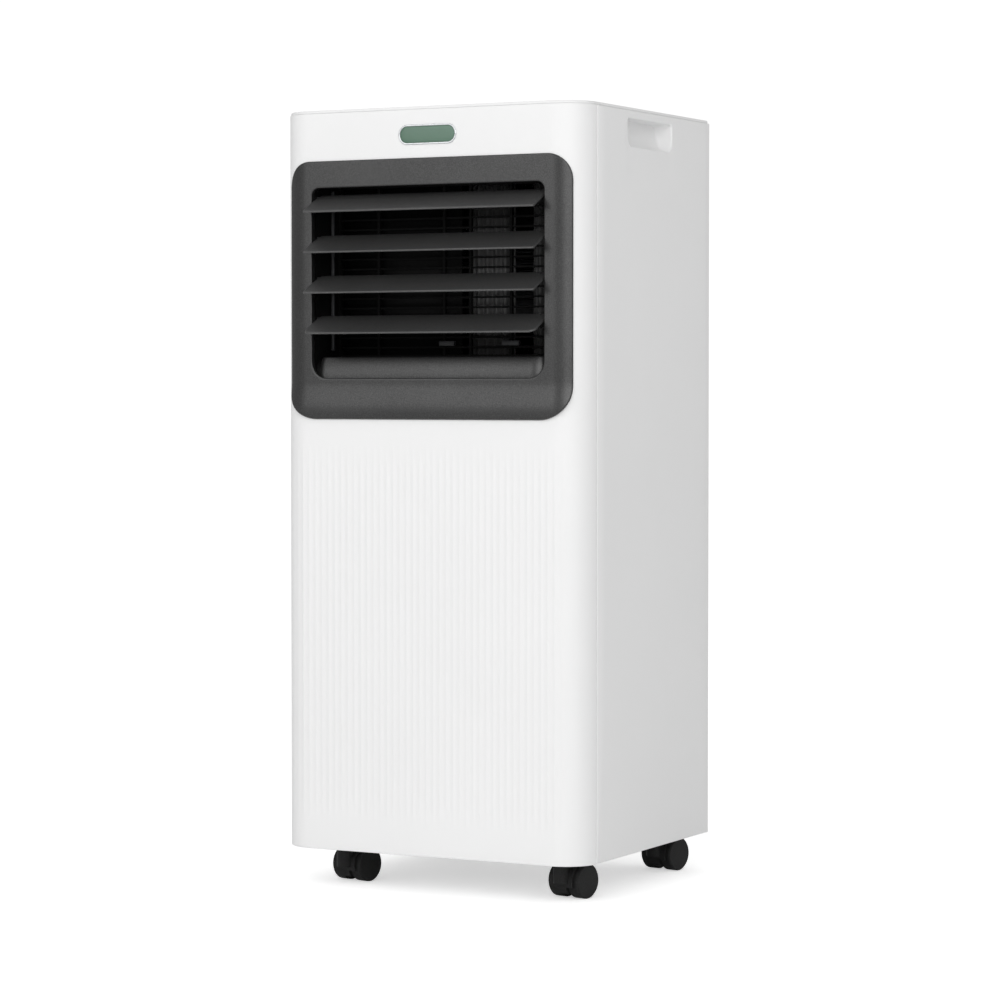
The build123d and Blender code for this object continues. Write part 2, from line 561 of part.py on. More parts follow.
def port_guard(y0, y1):
    """Finger guard: five bars across the scroll's round outlet."""
    bars = []
    for k in range(-2, 3):
        z = PORT_Z + 20.0 * k
        bars.append(box(PORT_X - PORT_R, PORT_X + PORT_R, y0, y1, z - 1, z + 1))
    return fuse(bars) & rod(PORT_X, y0, PORT_Z, PORT_R + 1, y1 - y0, "Y")


def fan_scroll():
    """Housing that leads the hot air from the wheel up to the exhaust collar."""
    r, left = FAN_R + 14, FAN_X - FAN_R - 34
    y0, y1 = FAN_Y0 - 4, FAN_Y1 + 4
    outer = rod(FAN_X, y0, FAN_Z, r + WALL, y1 - y0, "Y")
    outer += box(left - WALL, FAN_X + r + WALL, y0, y1, FAN_Z, TRAY_Z)
    inner = rod(FAN_X, y0 + WALL, FAN_Z, r, y1 - y0 - 2 * WALL, "Y")
    inner += box(left, FAN_X + r, y0 + WALL, y1 - WALL, FAN_Z + 20, TRAY_Z - WALL)
    case = outer - inner
    case -= rod(FAN_X, y0 - 1, FAN_Z, 7, 4, "Y")
    case -= rod(FAN_X, y1 - 3, FAN_Z, FAN_R - 12, 4, "Y")
    case -= rod(PORT_X, y1 - 3, PORT_Z, PORT_R + 0.8, 4, "Y")
    case += port_guard(y1 - WALL, y1)
    case += box(FAN_X - 30, FAN_X + 30, y0, y1, CLEAR + 5, FAN_Z - r + 2) - inner
    keep("exhaust_fan_scroll", case)


def exhaust_collar():
    """Collar that takes the hose adapter, with its duct back to the scroll."""
    y_duct, y_seat = FAN_Y1 + 4.3, Y_IN - 22
    body = rod(PORT_X, y_duct, PORT_Z, PORT_R + 3.2, Y_IN - y_duct, "Y")
    body += rod(PORT_X, Y_IN - WALL, PORT_Z, PORT_R + 9, WALL, "Y")
    body += rod(PORT_X, Y_IN, PORT_Z, PORT_R + 5.4, WALL - 0.1, "Y")
    body -= rod(PORT_X, y_duct - 1, PORT_Z, PORT_R, Y_OUT - y_duct + 2, "Y")
    body -= rod(PORT_X, y_duct - 1, PORT_Z, PORT_R + 0.8, y_seat - y_duct + 1, "Y")
    keep("exhaust_collar", body)


def electrics():
    """Closed control box hung in the front of the lower compartment."""
    case = box(-118, 8, -124, -72, TRAY_Z - 104, TRAY_Z)
    keep("electronics_box", case - box(-116, 6, -122, -74, TRAY_Z - 102, TRAY_Z - 2))


def tube(points, r, bend):
    """Copper pipe of round section along a filleted polyline."""
    path = FilletPolyline(*points, radius=bend)
    start = Plane(origin=path @ 0, z_dir=path % 0)
    return sweep(start * Circle(r), path=path)


def pipes():
    """Discharge, liquid and suction lines between the compressor and the coils."""
    y_cond, y_evap = 92.0, 78.0
    z_hot, z_cool = coil_ends(*COND_Z)[1], coil_ends(*COND_Z)[0]
    z_low, z_suck = coil_ends(*EVAP_Z)
    x_end, x_hot, x_suck, x_liq = -COIL_HALF - 4, -130.0, -138.0, -140.0
    discharge = tube([(COMP_X, COMP_Y, CLEAR + 174), (COMP_X, COMP_Y, z_hot), (x_hot, COMP_Y, z_hot),
                      (x_hot, y_cond, z_hot), (x_end, y_cond, z_hot)], 3.4, 10)
    xa, ya, z_turn = COMP_X + 12, COMP_Y + 62, CLEAR + 262
    suction = tube([(xa, ya, CLEAR + 134), (xa, ya, z_turn), (x_suck, ya, z_turn), (x_suck, y_evap, z_turn),
                    (x_suck, y_evap, z_suck), (x_end, y_evap, z_suck)], 4.6, 12)
    liquid = tube([(x_end, y_cond, z_cool), (x_liq, y_cond, z_cool), (x_liq, y_cond, z_low),
                   (-124, y_cond, z_low), (-124, y_evap, z_low), (x_end, y_evap, z_low)], 2.0, 3.5)
    keep("refrigerant_pipes", Compound(children=[discharge, suction, liquid]))


def drain_and_cord():
    """Rubber drain plug and the bush round the cord hole."""
    plug = rod(SIDE_X, Y_OUT - 12, DRAIN_Z, DRAIN_R - RUN, 11, "Y")
    plug += rod(SIDE_X, Y_OUT - 2.2, DRAIN_Z, DRAIN_R + 2.8, 2, "Y")
    keep("drain_plug", plug)
    bush = ring(SIDE_X, Y_OUT - 5.5, CORD_Z, CORD_R + 2.5, CORD_R - 2.5, 3.0, "Y")
    bush += ring(SIDE_X, Y_OUT - 2.5, CORD_Z, CORD_R, CORD_R - 2.5, 2.4, "Y")
    keep("cord_bush", bush)


def panel_screws():
    """Self-tapping screws that hold the rear panel."""
    out = []
    for x, z in SCREWS:
        screw = rod(x, Y_OUT - 12, z, SCREW_R, 11, "Y") + rod(x, Y_OUT - 1.4, z, SCREW_HEAD, 1.3, "Y")
        screw -= box(x - 2, x + 2, Y_OUT - 0.9, Y_OUT, z - 0.4, z + 0.4)
        out.append(screw)
    keep("panel_screws", Compound(children=out))


# ------------------------------------------------------------------- castors
def castor_hood():
    """Stem, neck, middle web and the arched hood, about a swivel axis at the origin."""
    t, r, web_half = CASTOR_TRAIL, WHEEL_R, WHEEL_IN - 0.6
    arch_half = WHEEL_IN + WHEEL_W - 4.2
    web = rod(-web_half, t, r, HOOD_R1, 2 * web_half, "X") & box(-9, 9, -30, 60, 4.5, 60)
    hood = ring(-arch_half, t, r, HOOD_R1, HOOD_R0, 2 * arch_half, "X")
    hood -= box(-30, 30, -40, t, -10, 10.5) + box(-30, 30, t, 60, -10, r + 0.5)
    neck = rod(0, 0, 14, 7.5, CLEAR + 1.6 - 14)
    brow = box(-7.5, 7.5, 0, t, 22, CLEAR - 2.6) & rod(-8, t, r, HOOD_R1 + 2.0, 16, "X")
    body = web + hood + neck + brow
    for x in (web_half, -web_half - WHEEL_W - 1.0):
        body -= rod(x, t, r, HOOD_R0, WHEEL_W + 1.0, "X")
    body += rod(0, 0, CLEAR + 1, STEM_R, 16)
    return body - rod(-20, t, r, AXLE_R, 40, "X")


def castor_wheel(side):
    """One wheel, chamfered outside, with a blind bore for the axle."""
    x0 = WHEEL_IN if side > 0 else -WHEEL_IN - WHEEL_W
    bore_x = x0 - 1 if side > 0 else x0 + 1.3
    wheel = rod(x0, CASTOR_TRAIL, WHEEL_R, WHEEL_R, WHEEL_W, "X")
    outer_edge = wheel.edges().filter_by(GeomType.CIRCLE).sort_by(Axis.X)[-1 if side > 0 else 0]
    wheel = chamfer(outer_edge, 1.2)
    return wheel - rod(bore_x, CASTOR_TRAIL, WHEEL_R, AXLE_R + RUN, WHEEL_W - 0.3, "X")


def castor(name, x, y):
    """Hooded twin-wheel castor: stem and hood, steel axle, two free wheels."""
    place = Pos(x, y, 0) * Rot(0, 0, CASTOR_YAW)
    half = WHEEL_IN + WHEEL_W - 1.5
    keep("castor_%s_hood" % name, place * castor_hood())
    keep("castor_%s_axle" % name, place * rod(-half, CASTOR_TRAIL, WHEEL_R, AXLE_R, 2 * half, "X"))
    keep("castor_%s_wheel_inner" % name, place * castor_wheel(-1))
    keep("castor_%s_wheel_outer" % name, place * castor_wheel(1))


def build():
    """Make every piece and write one file per node."""
    front_panel()
    side_panel("side_panel_left", -1)
    side_panel("side_panel_right", 1)
    rear_panel()
    top_lid()
    base_pan()
    badge()
    controls()
    outlet_bezel()
    outlet_duct()
    louvres()
    guard_grille()
    blower()
    keep("evaporator", coil(60, 96, *EVAP_Z))
    middle_tray()
    cassette("upper", *UPPER_Z)
    cassette("lower", *LOWER_Z)
    compressor()
    lower_fan()
    fan_scroll()
    keep("condenser", coil(76, 108, *COND_Z))
    exhaust_collar()
    electrics()
    pipes()
    drain_and_cord()
    panel_screws()
    for name, (x, y) in CASTORS.items():
        castor(name, x, y)
    os.makedirs("parts", exist_ok=True)
    for name, shape in OUT.items():
        export_step(Pos(0, ORIGIN_Y, 0) * shape, "parts/%s.step" % name)
    print(len(OUT), "nodes")


build()
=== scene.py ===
# %% [markdown]
# A portable air conditioner: a white moulded cabinet on four castors, with a dark outlet frame
# and four louvres. The mechanical model is already packed, so the scene starts by loading it as
# a fixed frame. Everything that follows either gives those pieces a finish or puts a finer
# surface over one of them, in the same metres and the same axes.

# %% Load the frame
import json
import math

import bpy
import numpy as np
from mathutils import Matrix, Vector


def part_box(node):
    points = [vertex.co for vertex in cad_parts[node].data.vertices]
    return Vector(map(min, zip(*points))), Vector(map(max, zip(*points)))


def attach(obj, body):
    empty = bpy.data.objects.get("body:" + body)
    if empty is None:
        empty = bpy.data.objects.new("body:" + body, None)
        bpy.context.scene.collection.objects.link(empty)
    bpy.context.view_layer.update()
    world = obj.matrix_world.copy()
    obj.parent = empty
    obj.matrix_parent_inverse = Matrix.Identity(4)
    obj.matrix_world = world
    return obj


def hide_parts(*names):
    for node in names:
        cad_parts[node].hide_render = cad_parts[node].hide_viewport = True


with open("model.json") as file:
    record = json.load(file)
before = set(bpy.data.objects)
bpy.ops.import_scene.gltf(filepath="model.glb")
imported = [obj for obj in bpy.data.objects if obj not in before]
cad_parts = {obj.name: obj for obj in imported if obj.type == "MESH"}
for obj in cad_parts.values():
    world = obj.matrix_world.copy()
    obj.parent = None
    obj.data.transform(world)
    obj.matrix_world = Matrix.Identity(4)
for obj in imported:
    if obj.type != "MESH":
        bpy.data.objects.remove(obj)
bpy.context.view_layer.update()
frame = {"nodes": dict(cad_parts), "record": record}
nodes = frame["nodes"]

# %% [markdown]
# The cabinet's driving sizes are read back from the frame, so that the finer surfaces always sit
# where the mechanical ones do. The front moulding gives the width, the front plane and both ends;
# its front corners are quarter circles, and where the moulding stops is where they do. Mouldings
# meet with a visible gap that is finer than the mechanical clearance, so part of it is filled.

# %% Sizes taken from the frame, in metres
MM = 0.001
front_lo, front_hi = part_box("front_panel")
bezel_lo, bezel_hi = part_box("outlet_bezel")
badge_lo, badge_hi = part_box("badge_plate")
side_lo, side_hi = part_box("side_panel_right")
HALF_W = front_hi[0]
FRONT_Y = front_lo[1]
CORNER_R = 30 * MM
CORNER_Y = FRONT_Y + CORNER_R
FLAT_HALF = HALF_W - CORNER_R
ARC = CORNER_R * math.pi / 2
SEAM_FILL = 0.3 * MM
BASE_Z, TOP_Z = front_lo[2], front_hi[2] + SEAM_FILL
CABINET_Y = FRONT_Y + 132 * MM
print("half width %.4f, front plane %.4f, heights %.4f to %.4f" % (HALF_W, FRONT_Y, BASE_Z, TOP_Z))

# %% [markdown]
# Two small helpers carry every material. A hex colour is what a colour chart gives, and Blender
# computes in linear light, so one function turns it. The other adds a node, sets its fields and
# inputs, and links what is passed as a socket, so a material reads as a list of what it is made of.

# %% Colour and node helpers
def srgb(code, alpha=1.0):
    """Linear RGBA of an sRGB hex string."""
    v = np.array([int(code[i:i + 2], 16) for i in (0, 2, 4)]) / 255
    lin = np.where(v <= 0.04045, v / 12.92, ((v + 0.055) / 1.055) ** 2.4)
    return (*lin.tolist(), alpha)


def add(tree, kind, fields=None, **inputs):
    """One node: fields set properties, inputs set or link sockets (underscores read as spaces)."""
    node = tree.nodes.new(kind)
    for key, value in (fields or {}).items():
        setattr(node, key, value)
    for key, value in inputs.items():
        name = key.replace("_", " ")
        sock = node.inputs[int(key[1:])] if key[0] == "i" and key[1:].isdigit() else node.inputs[name]
        if isinstance(value, bpy.types.NodeSocket):
            tree.links.new(value, sock)
        else:
            sock.default_value = value
    return node


def ramp(tree, fac, stops):
    """Colour ramp through (position, colour) stops."""
    node = add(tree, "ShaderNodeValToRGB", Fac=fac)
    band = node.color_ramp.elements
    band[0].position, band[0].color = stops[0]
    band[1].position, band[1].color = stops[-1]
    for where, colour in stops[1:-1]:
        band.new(where).color = colour
    return node.outputs["Color"]


def material(name):
    """Empty node material with its output, ready for a shader."""
    mat = bpy.data.materials.new(name)
    mat.use_nodes = True
    mat.node_tree.nodes.clear()
    out = mat.node_tree.nodes.new("ShaderNodeOutputMaterial")
    return mat, mat.node_tree, out

# %% [markdown]
# Most of the machine is moulded plastic. What tells one moulding from another is the tint, how
# tight the gloss is, and the grain that the spark-eroded tool left: a fine random relief, here
# one noise whose period is the grain in millimetres. A second, slower noise stands for the faint
# unevenness of a large moulding. Metallic-grey ABS also has flakes that lighten single spots.

# %% Moulded plastics
def moulded(name, dark, light, rough, grain_mm, relief, flake=0.0, metallic=0.0, spec=0.5, blotch_mm=60):
    """Plastic between two tints, with tool grain, slow unevenness and optional metal flakes."""
    mat, t, out = material(name)
    at = add(t, "ShaderNodeTexCoord").outputs["Object"]
    slow = add(t, "ShaderNodeTexNoise", Vector=at, Scale=1000 / blotch_mm, Detail=3.0).outputs["Fac"]
    tint = ramp(t, slow, [(0.35, srgb(dark)), (0.65, srgb(light))])
    grain = add(t, "ShaderNodeTexNoise", Vector=at, Scale=1000 / grain_mm, Detail=2.0).outputs["Fac"]
    if flake:
        spots = add(t, "ShaderNodeTexNoise", Vector=at, Scale=1000 / (grain_mm * 0.8), Detail=1.0)
        sharp = add(t, "ShaderNodeMapRange", Value=spots.outputs["Fac"], From_Min=0.35, From_Max=0.75,
                    To_Min=-flake, To_Max=flake * 1.6).outputs["Result"]
        lift = add(t, "ShaderNodeHueSaturation", Color=tint,
                   Value=add(t, "ShaderNodeMath", i0=1.0, i1=sharp).outputs[0])
        tint = lift.outputs["Color"]
    gloss = add(t, "ShaderNodeMapRange", Value=grain, To_Min=rough - 0.06, To_Max=rough + 0.06)
    bump = add(t, "ShaderNodeBump", Height=grain, Strength=relief, Distance=grain_mm * MM * 0.25)
    shader = add(t, "ShaderNodeBsdfPrincipled", Base_Color=tint, Roughness=gloss.outputs["Result"],
                 Normal=bump.outputs["Normal"], Metallic=metallic, Specular_IOR_Level=spec)
    t.links.new(shader.outputs[0], out.inputs[0])
    return mat


# White ABS, fine spark-eroded: soft satin that shows broad gradients and no sharp reflection.
white_abs = moulded("moulded white ABS", "eeeeee", "f0f0f0", 0.48, 1.3, 0.08, spec=0.4, blotch_mm=220)
# Light grey ABS for what is seen from below or behind the cabinet's skin.
grey_abs = moulded("moulded light grey ABS", "c9c9c9", "d3d3d3", 0.55, 1.3, 0.15)
# Metallic-grey ABS: flakes in the pellet give the frame its sparkle and its lit edges.
fleck_abs = moulded("metallic grey moulded ABS", "464646", "494949", 0.34, 0.9, 0.18, flake=0.2,
                    metallic=0.8)
# The louvres are the same family with less metal in it, so they read a shade darker.
louvre_abs = moulded("dark metallic moulded ABS", "525252", "565656", 0.38, 0.9, 0.18, flake=0.18,
                     metallic=0.5)
# Carbon-black polypropylene of ducts and scrolls: dull, and almost no light comes back.
black_pp = moulded("black moulded polypropylene", "0b0b0b", "0e0e0e", 0.7, 1.6, 0.1, spec=0.12)
# Glass-filled nylon of the castors: slightly greasy black with a tight grain.
black_nylon = moulded("black glass-filled nylon", "222222", "282828", 0.5, 1.0, 0.3, flake=0.15, spec=0.15)
# The air straightener is the one pale thing inside, and it is only a mid grey.
vane_abs = moulded("mid grey moulded vane plastic", "404040", "484848", 0.5, 1.0, 0.15)
# Painted shade: a black sheet beside it stands for the dark in the left of the duct; it is broad and flat
# enough to show a little light.
duct_shade_pp = moulded("black sheet painting duct shade", "0f0f0f", "121212", 0.6, 1.6, 0.1, spec=0.1)
fan_pp = moulded("dark grey moulded fan plastic", "2c2d2f", "343537", 0.5, 1.4, 0.15)
key_abs = moulded("moulded grey key caps", "bfc0c2", "c9cacc", 0.4, 0.8, 0.1)
soft_rubber = moulded("black moulded rubber", "161616", "1d1d1d", 0.75, 1.0, 0.3, spec=0.2)
print("plastics made:", len(bpy.data.materials))

# %% [markdown]
# Metals keep their default index of refraction and take their look from roughness. Drawn, plated
# and painted metals differ in how that roughness is patterned: a drawn can has fine rings, copper
# tube is mottled by handling, and baked enamel hides the metal under a smooth black skin.

# %% Metals, enamels, glass and board
def metal(name, dark, light, rough, grain_mm, stretch=(1.0, 1.0, 1.0)):
    """Bare metal with a stretched noise that varies tint and roughness along the working direction."""
    mat, t, out = material(name)
    at = add(t, "ShaderNodeTexCoord").outputs["Object"]
    lie = add(t, "ShaderNodeMapping", Vector=at, Scale=stretch).outputs["Vector"]
    grain = add(t, "ShaderNodeTexNoise", Vector=lie, Scale=1000 / grain_mm, Detail=4.0).outputs["Fac"]
    tint = ramp(t, grain, [(0.3, srgb(dark)), (0.7, srgb(light))])
    gloss = add(t, "ShaderNodeMapRange", Value=grain, To_Min=rough - 0.08, To_Max=rough + 0.1)
    bump = add(t, "ShaderNodeBump", Height=grain, Strength=0.08, Distance=grain_mm * MM * 0.2)
    shader = add(t, "ShaderNodeBsdfPrincipled", Base_Color=tint, Metallic=1.0, Normal=bump.outputs["Normal"],
                 Roughness=gloss.outputs["Result"])
    t.links.new(shader.outputs[0], out.inputs[0])
    return mat


# Rolled aluminium fin stock: bright, slightly milky from its hydrophilic coating.
fin_aluminium = metal("rolled aluminium fin stock", "b9bfc4", "d2d6da", 0.38, 6.0, (1, 1, 6))
# Drawn copper tube, dulled by handling and brazing heat.
bare_copper = metal("drawn copper tube", "9a5a3c", "c98660", 0.35, 9.0)
# Zinc-plated steel of motors, screws and axles.
plated_steel = metal("zinc plated steel", "9fa3a6", "c3c6c8", 0.32, 4.0)
# Satin chrome rim of the badge.
satin_silver = metal("satin plated trim", "c6c9cb", "e2e4e5", 0.28, 3.0)
# Baked black enamel on the compressor can.
black_enamel = moulded("baked black enamel", "0d0d0e", "131314", 0.3, 3.0, 0.05, spec=0.7)
# Green vitreous enamel of the badge: a deep flat colour under a clear gloss.
green_enamel = moulded("green badge enamel", "4b6b58", "547462", 0.35, 4.0, 0.02, spec=0.7)
# Gloss black fascia and green board laminate.
gloss_black = moulded("gloss black fascia", "0c0c0d", "101011", 0.24, 5.0, 0.02, spec=0.3)
board_green = moulded("green circuit laminate", "1d4a2c", "245a36", 0.4, 2.0, 0.1, spec=0.7)


def smoked_glass():
    """Clear tinted window: the tint sits on the shader and a slow noise hazes its gloss a little."""
    mat, t, out = material("smoked acrylic window")
    at = add(t, "ShaderNodeTexCoord").outputs["Object"]
    haze = add(t, "ShaderNodeTexNoise", Vector=at, Scale=40.0, Detail=2.0).outputs["Fac"]
    gloss = add(t, "ShaderNodeMapRange", Value=haze, To_Min=0.04, To_Max=0.12)
    shader = add(t, "ShaderNodeBsdfPrincipled", Base_Color=srgb("2a2b30"), IOR=1.49,
                 Roughness=gloss.outputs["Result"], Transmission_Weight=0.6)
    t.links.new(shader.outputs[0], out.inputs[0])
    return mat


window_acrylic = smoked_glass()

# %% [markdown]
# The filter screen is woven nylon. Its threads are far finer than a rendered dot from across a
# room, so the weave is drawn on a 1.6 mm pitch, coarse enough to show: two square waves, one
# along each thread direction, darken the gaps and lift the threads.

# %% Woven filter screen
def woven(name, thread, gap, pitch_mm):
    """Plain weave on the screen's own X and Z: brightness follows the higher of two sine waves."""
    mat, t, out = material(name)
    at = add(t, "ShaderNodeTexCoord").outputs["Object"]
    part = add(t, "ShaderNodeSeparateXYZ", Vector=at).outputs
    waves = []
    rate = 2 * math.pi * 1000 / pitch_mm
    for axis in ("X", "Z"):
        turn = add(t, "ShaderNodeMath", {"operation": "MULTIPLY"}, i0=part[axis], i1=rate)
        waves.append(add(t, "ShaderNodeMath", {"operation": "SINE"}, i0=turn.outputs[0]).outputs[0])
    top = add(t, "ShaderNodeMath", {"operation": "MAXIMUM"}, i0=waves[0], i1=waves[1]).outputs[0]
    high = add(t, "ShaderNodeMapRange", Value=top, From_Min=0.0, From_Max=0.9).outputs["Result"]
    tint = ramp(t, high, [(0.2, srgb(gap)), (0.8, srgb(thread))])
    bump = add(t, "ShaderNodeBump", Height=high, Strength=0.6, Distance=0.3 * MM)
    shader = add(t, "ShaderNodeBsdfPrincipled", Base_Color=tint, Roughness=0.7, Normal=bump.outputs["Normal"])
    t.links.new(shader.outputs[0], out.inputs[0])
    return mat


filter_nylon = woven("woven nylon screen", "3a3b3e", "0a0a0b", 1.6)

# %% [markdown]
# Each mechanical node keeps its shape and takes a finish. The record already sorts the nodes into
# slots, so a table from slot to finish dresses them all at once.

# %% Dress the mechanical nodes
FINISH = {
    "white_shell": white_abs, "base_plastic": grey_abs, "bezel_plastic": fleck_abs,
    "black_plastic": black_pp, "louvre_plastic": louvre_abs, "badge": green_enamel,
    "control_gloss": gloss_black, "button_plastic": key_abs, "window_glass": window_acrylic,
    "circuit_board": board_green, "fan_plastic": fan_pp, "motor_steel": plated_steel,
    "compressor_paint": black_enamel, "rubber": soft_rubber, "coil_aluminium": fin_aluminium,
    "copper": bare_copper, "filter_mesh": filter_nylon, "screw_steel": plated_steel,
    "castor_plastic": black_nylon, "wheel_plastic": black_nylon, "axle_steel": plated_steel,
}
SLOT_OF = {row["node"]: row["material_slot"] for row in frame["record"]["subparts"]}


def dress(name, finish):
    """Put one finish on a mechanical node."""
    obj = nodes[name]
    if not obj.material_slots:
        obj.data.materials.append(finish)
    for place in obj.material_slots:
        place.link = "OBJECT"
        place.material = finish


for node_name in nodes:
    dress(node_name, FINISH[SLOT_OF[node_name]])
print("dressed", len(nodes), "nodes in", len(set(SLOT_OF.values())), "finishes")

# %% [markdown]
# New surfaces are grids of points worked out as whole arrays: rows along one parameter, columns
# along the other. One function turns such a grid into quads, joining the last column to the first if asked,
# and another hands points and faces to a mesh and says which body it rides on.

# %% Grid and mesh helpers
def quads(rows, cols, ring=False, start=0):
    """Faces of a rows by cols grid as an array of four indices; ring joins the last column to the first."""
    r = np.arange(rows - 1)[:, None]
    c = np.arange(cols if ring else cols - 1)[None, :]
    nxt = (c + 1) % cols
    a, b = r * cols + c, r * cols + nxt
    d, e = (r + 1) * cols + c, (r + 1) * cols + nxt
    return np.stack([a, b, e, d], axis=-1).reshape(-1, 4) + start


def outward(points, faces, toward=None):
    """Faces wound to look away from the shape's middle, or towards a direction if one is given."""
    p = np.asarray(points, float).reshape(-1, 3)
    total = 0.0
    for f in faces:
        a, b, c, d = p[f[:, 0]], p[f[:, 1]], p[f[:, 2]], p[f[:, -1]]
        area = np.cross(c - a, d - b)
        total += (area * (np.array(toward) if toward else (a + c) / 2 - p.mean(axis=0))).sum()
    return faces if total > 0 else [f[:, ::-1] for f in faces]


def piece(name, points, faces, body, finish, stands_for=(), sharp=None, toward=None):
    """Mesh object from an (n, 3) array and a list of face arrays, riding on a body."""
    mesh = bpy.data.meshes.new(name)
    flat = [tuple(f) for block in outward(points, faces, toward) for f in block.tolist()]
    mesh.from_pydata(np.asarray(points, float).reshape(-1, 3).tolist(), [], flat)
    mesh.validate()
    mesh.shade_smooth()
    if sharp is not None:
        mesh.set_sharp_from_angle(angle=math.radians(sharp))
    obj = bpy.data.objects.new(name, mesh)
    bpy.context.scene.collection.objects.link(obj)
    obj.data.materials.append(finish)
    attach(obj, body)
    if stands_for:
        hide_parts(*stands_for)
    return obj


def thicken(obj, depth):
    """Give a skin its wall: the outer face stays, the inner one is depth behind it."""
    wall = obj.modifiers.new("wall", "SOLIDIFY")
    wall.thickness, wall.offset, wall.use_even_offset = depth, -1.0, True
    return obj


def ease(distance, radius):
    """How far a surface has rolled away at a distance from its edge: a quarter circle, then flat."""
    left = np.clip(radius - distance, 0, radius)
    return radius - np.sqrt(np.maximum(radius ** 2 - left ** 2, 0))


def smooth(x, a, b):
    """Soft step from 0 at a to 1 at b."""
    t = np.clip((x - a) / (b - a), 0, 1)
    return t * t * (3 - 2 * t)

# %% [markdown]
# The cabinet's front is one sheet bent round two quarter-circle corners. It is easiest to think of
# it unrolled: s runs along the outline from the left seam to the right one, and a point is the
# outline at s moved along its own normal. Anything on the front (flutes, frame, badge) is then
# drawn flat in (s, z) and bends round the corners by itself.

# %% The unrolled front
def on_front(s, z, proud):
    """Point at outline length s and height z, moved out along the outline's normal by proud."""
    s, z, proud = np.broadcast_arrays(s, z, proud)
    past = np.clip(np.abs(s) - FLAT_HALF, 0, None)
    angle = np.where(s < 0, -1.0, 1.0) * past / CORNER_R
    reach = CORNER_R + proud
    x = np.clip(s, -FLAT_HALF, FLAT_HALF) + np.sin(angle) * reach
    y = CORNER_Y - np.cos(angle) * reach
    return np.stack([x, y, z], axis=-1)


S_END = FLAT_HALF + ARC
print("front outline is %.1f mm from seam to seam" % (2 * S_END / MM))

# %% [markdown]
# The front moulding is that sheet with shallow flutes below the outlet. A flute here is a concave
# parabola, repeated every 6.55 mm, so each one goes evenly from its bright flank to its dark one
# and jumps back at the ridge between two. They fade in under the outlet frame and out near the
# floor, a few columns per flute are enough, and the faces behind the outlet frame are left out.

# %% Front moulding with flutes
FLUTE_PITCH = 6.55 * MM
FLUTE_FIRST = -118.4 * MM
FLUTE_DEPTH = 0.6 * MM
FLUTE_FREE = 20 * MM
FLUTE_Z = (BASE_Z + 22 * MM, BASE_Z + 46 * MM, BASE_Z + 328 * MM, BASE_Z + 362 * MM)
EDGE_R = 0.8 * MM
SEAM_R = 1.1 * MM
TOP_R = 0.2 * MM
SIDE_R = 1.1 * MM


def flute_depth(s):
    """Depth at s: FLUTE_DEPTH times one less the square of the way from the flute's middle to its ridge."""
    way = 2 * np.mod(s - FLUTE_FIRST, FLUTE_PITCH) / FLUTE_PITCH - 1
    inside = smooth(S_END - np.abs(s), FLUTE_FREE, FLUTE_FREE + 18 * MM)
    return FLUTE_DEPTH * (1 - way ** 2) * inside


def seam_drop(distance):
    """The front slopes in over the last stretch before a seam and leaves the side's rounded edge standing."""
    return SEAM_R * np.clip(1 - distance / (2 * SEAM_R), 0, 1)


def front_columns():
    """Values of s: eight per flute, and an even fan round each corner and down each seam edge."""
    steps = FLUTE_PITCH * np.arange(8) / 8
    first = FLUTE_FIRST + FLUTE_PITCH * np.arange(-3, 40)
    flutes = (first[:, None] + steps[None, :]).ravel()
    fan = np.linspace(FLAT_HALF + 8 * MM, S_END - 2.2 * SEAM_R, 18)
    lip = S_END - SEAM_R * np.array([2.0, 1.8, 1.0, 0.0])
    outer = np.concatenate([fan, lip])
    inner = flutes[np.abs(flutes) < FLAT_HALF + 7.5 * MM]
    return np.unique(np.round(np.concatenate([-outer, inner, outer]), 7))


def front_rows():
    """Heights: rolled ends, plain stretches, and closer rows where flutes fade and behind the frame."""
    roll = EDGE_R * (1 - np.sin(np.linspace(0, math.pi / 2, 5)[:-1]))
    fades = [np.linspace(FLUTE_Z[0], FLUTE_Z[1], 8), np.linspace(FLUTE_Z[2], FLUTE_Z[3], 10)]
    frame_rows = np.arange(bezel_lo[2] - 4 * MM, bezel_hi[2] + 6 * MM, 3 * MM)
    plain = np.linspace(FLUTE_Z[1], FLUTE_Z[2], 10)
    ends = [BASE_Z + EDGE_R, BASE_Z + 8 * MM, TOP_Z - 20 * MM, TOP_Z - 8 * MM, TOP_Z - TOP_R]
    rows = np.concatenate([*fades, frame_rows, plain, ends])
    rolled = np.concatenate([BASE_Z + roll, TOP_Z - roll * TOP_R / EDGE_R])
    return np.unique(np.round(np.concatenate([rows[rows > BASE_Z], rolled, [BASE_Z, TOP_Z]]), 7))


def in_window(s, z, half, z0, z1, r_top, r_bottom):
    """True inside a rectangle with its own top and bottom corner radii, drawn in (s, z)."""
    r = np.where(z > (z0 + z1) / 2, r_top, r_bottom)
    dx = np.clip(np.abs(s) - (half - r), 0, None)
    dz = np.clip(np.maximum(z - (z1 - r), (z0 + r) - z), 0, None)
    return (np.hypot(dx, dz) < r) & (np.abs(s) < half) & (z > z0) & (z < z1)


# Outline of the outlet frame: half its length along s, its corner radii, and how much it covers.
BEZEL_S = FLAT_HALF + CORNER_R * math.asin((bezel_hi[0] - FLAT_HALF) / CORNER_R)
FRAME_R_LOW, FRAME_R_TOP = 30 * MM, 23 * MM
COVERED = 4 * MM


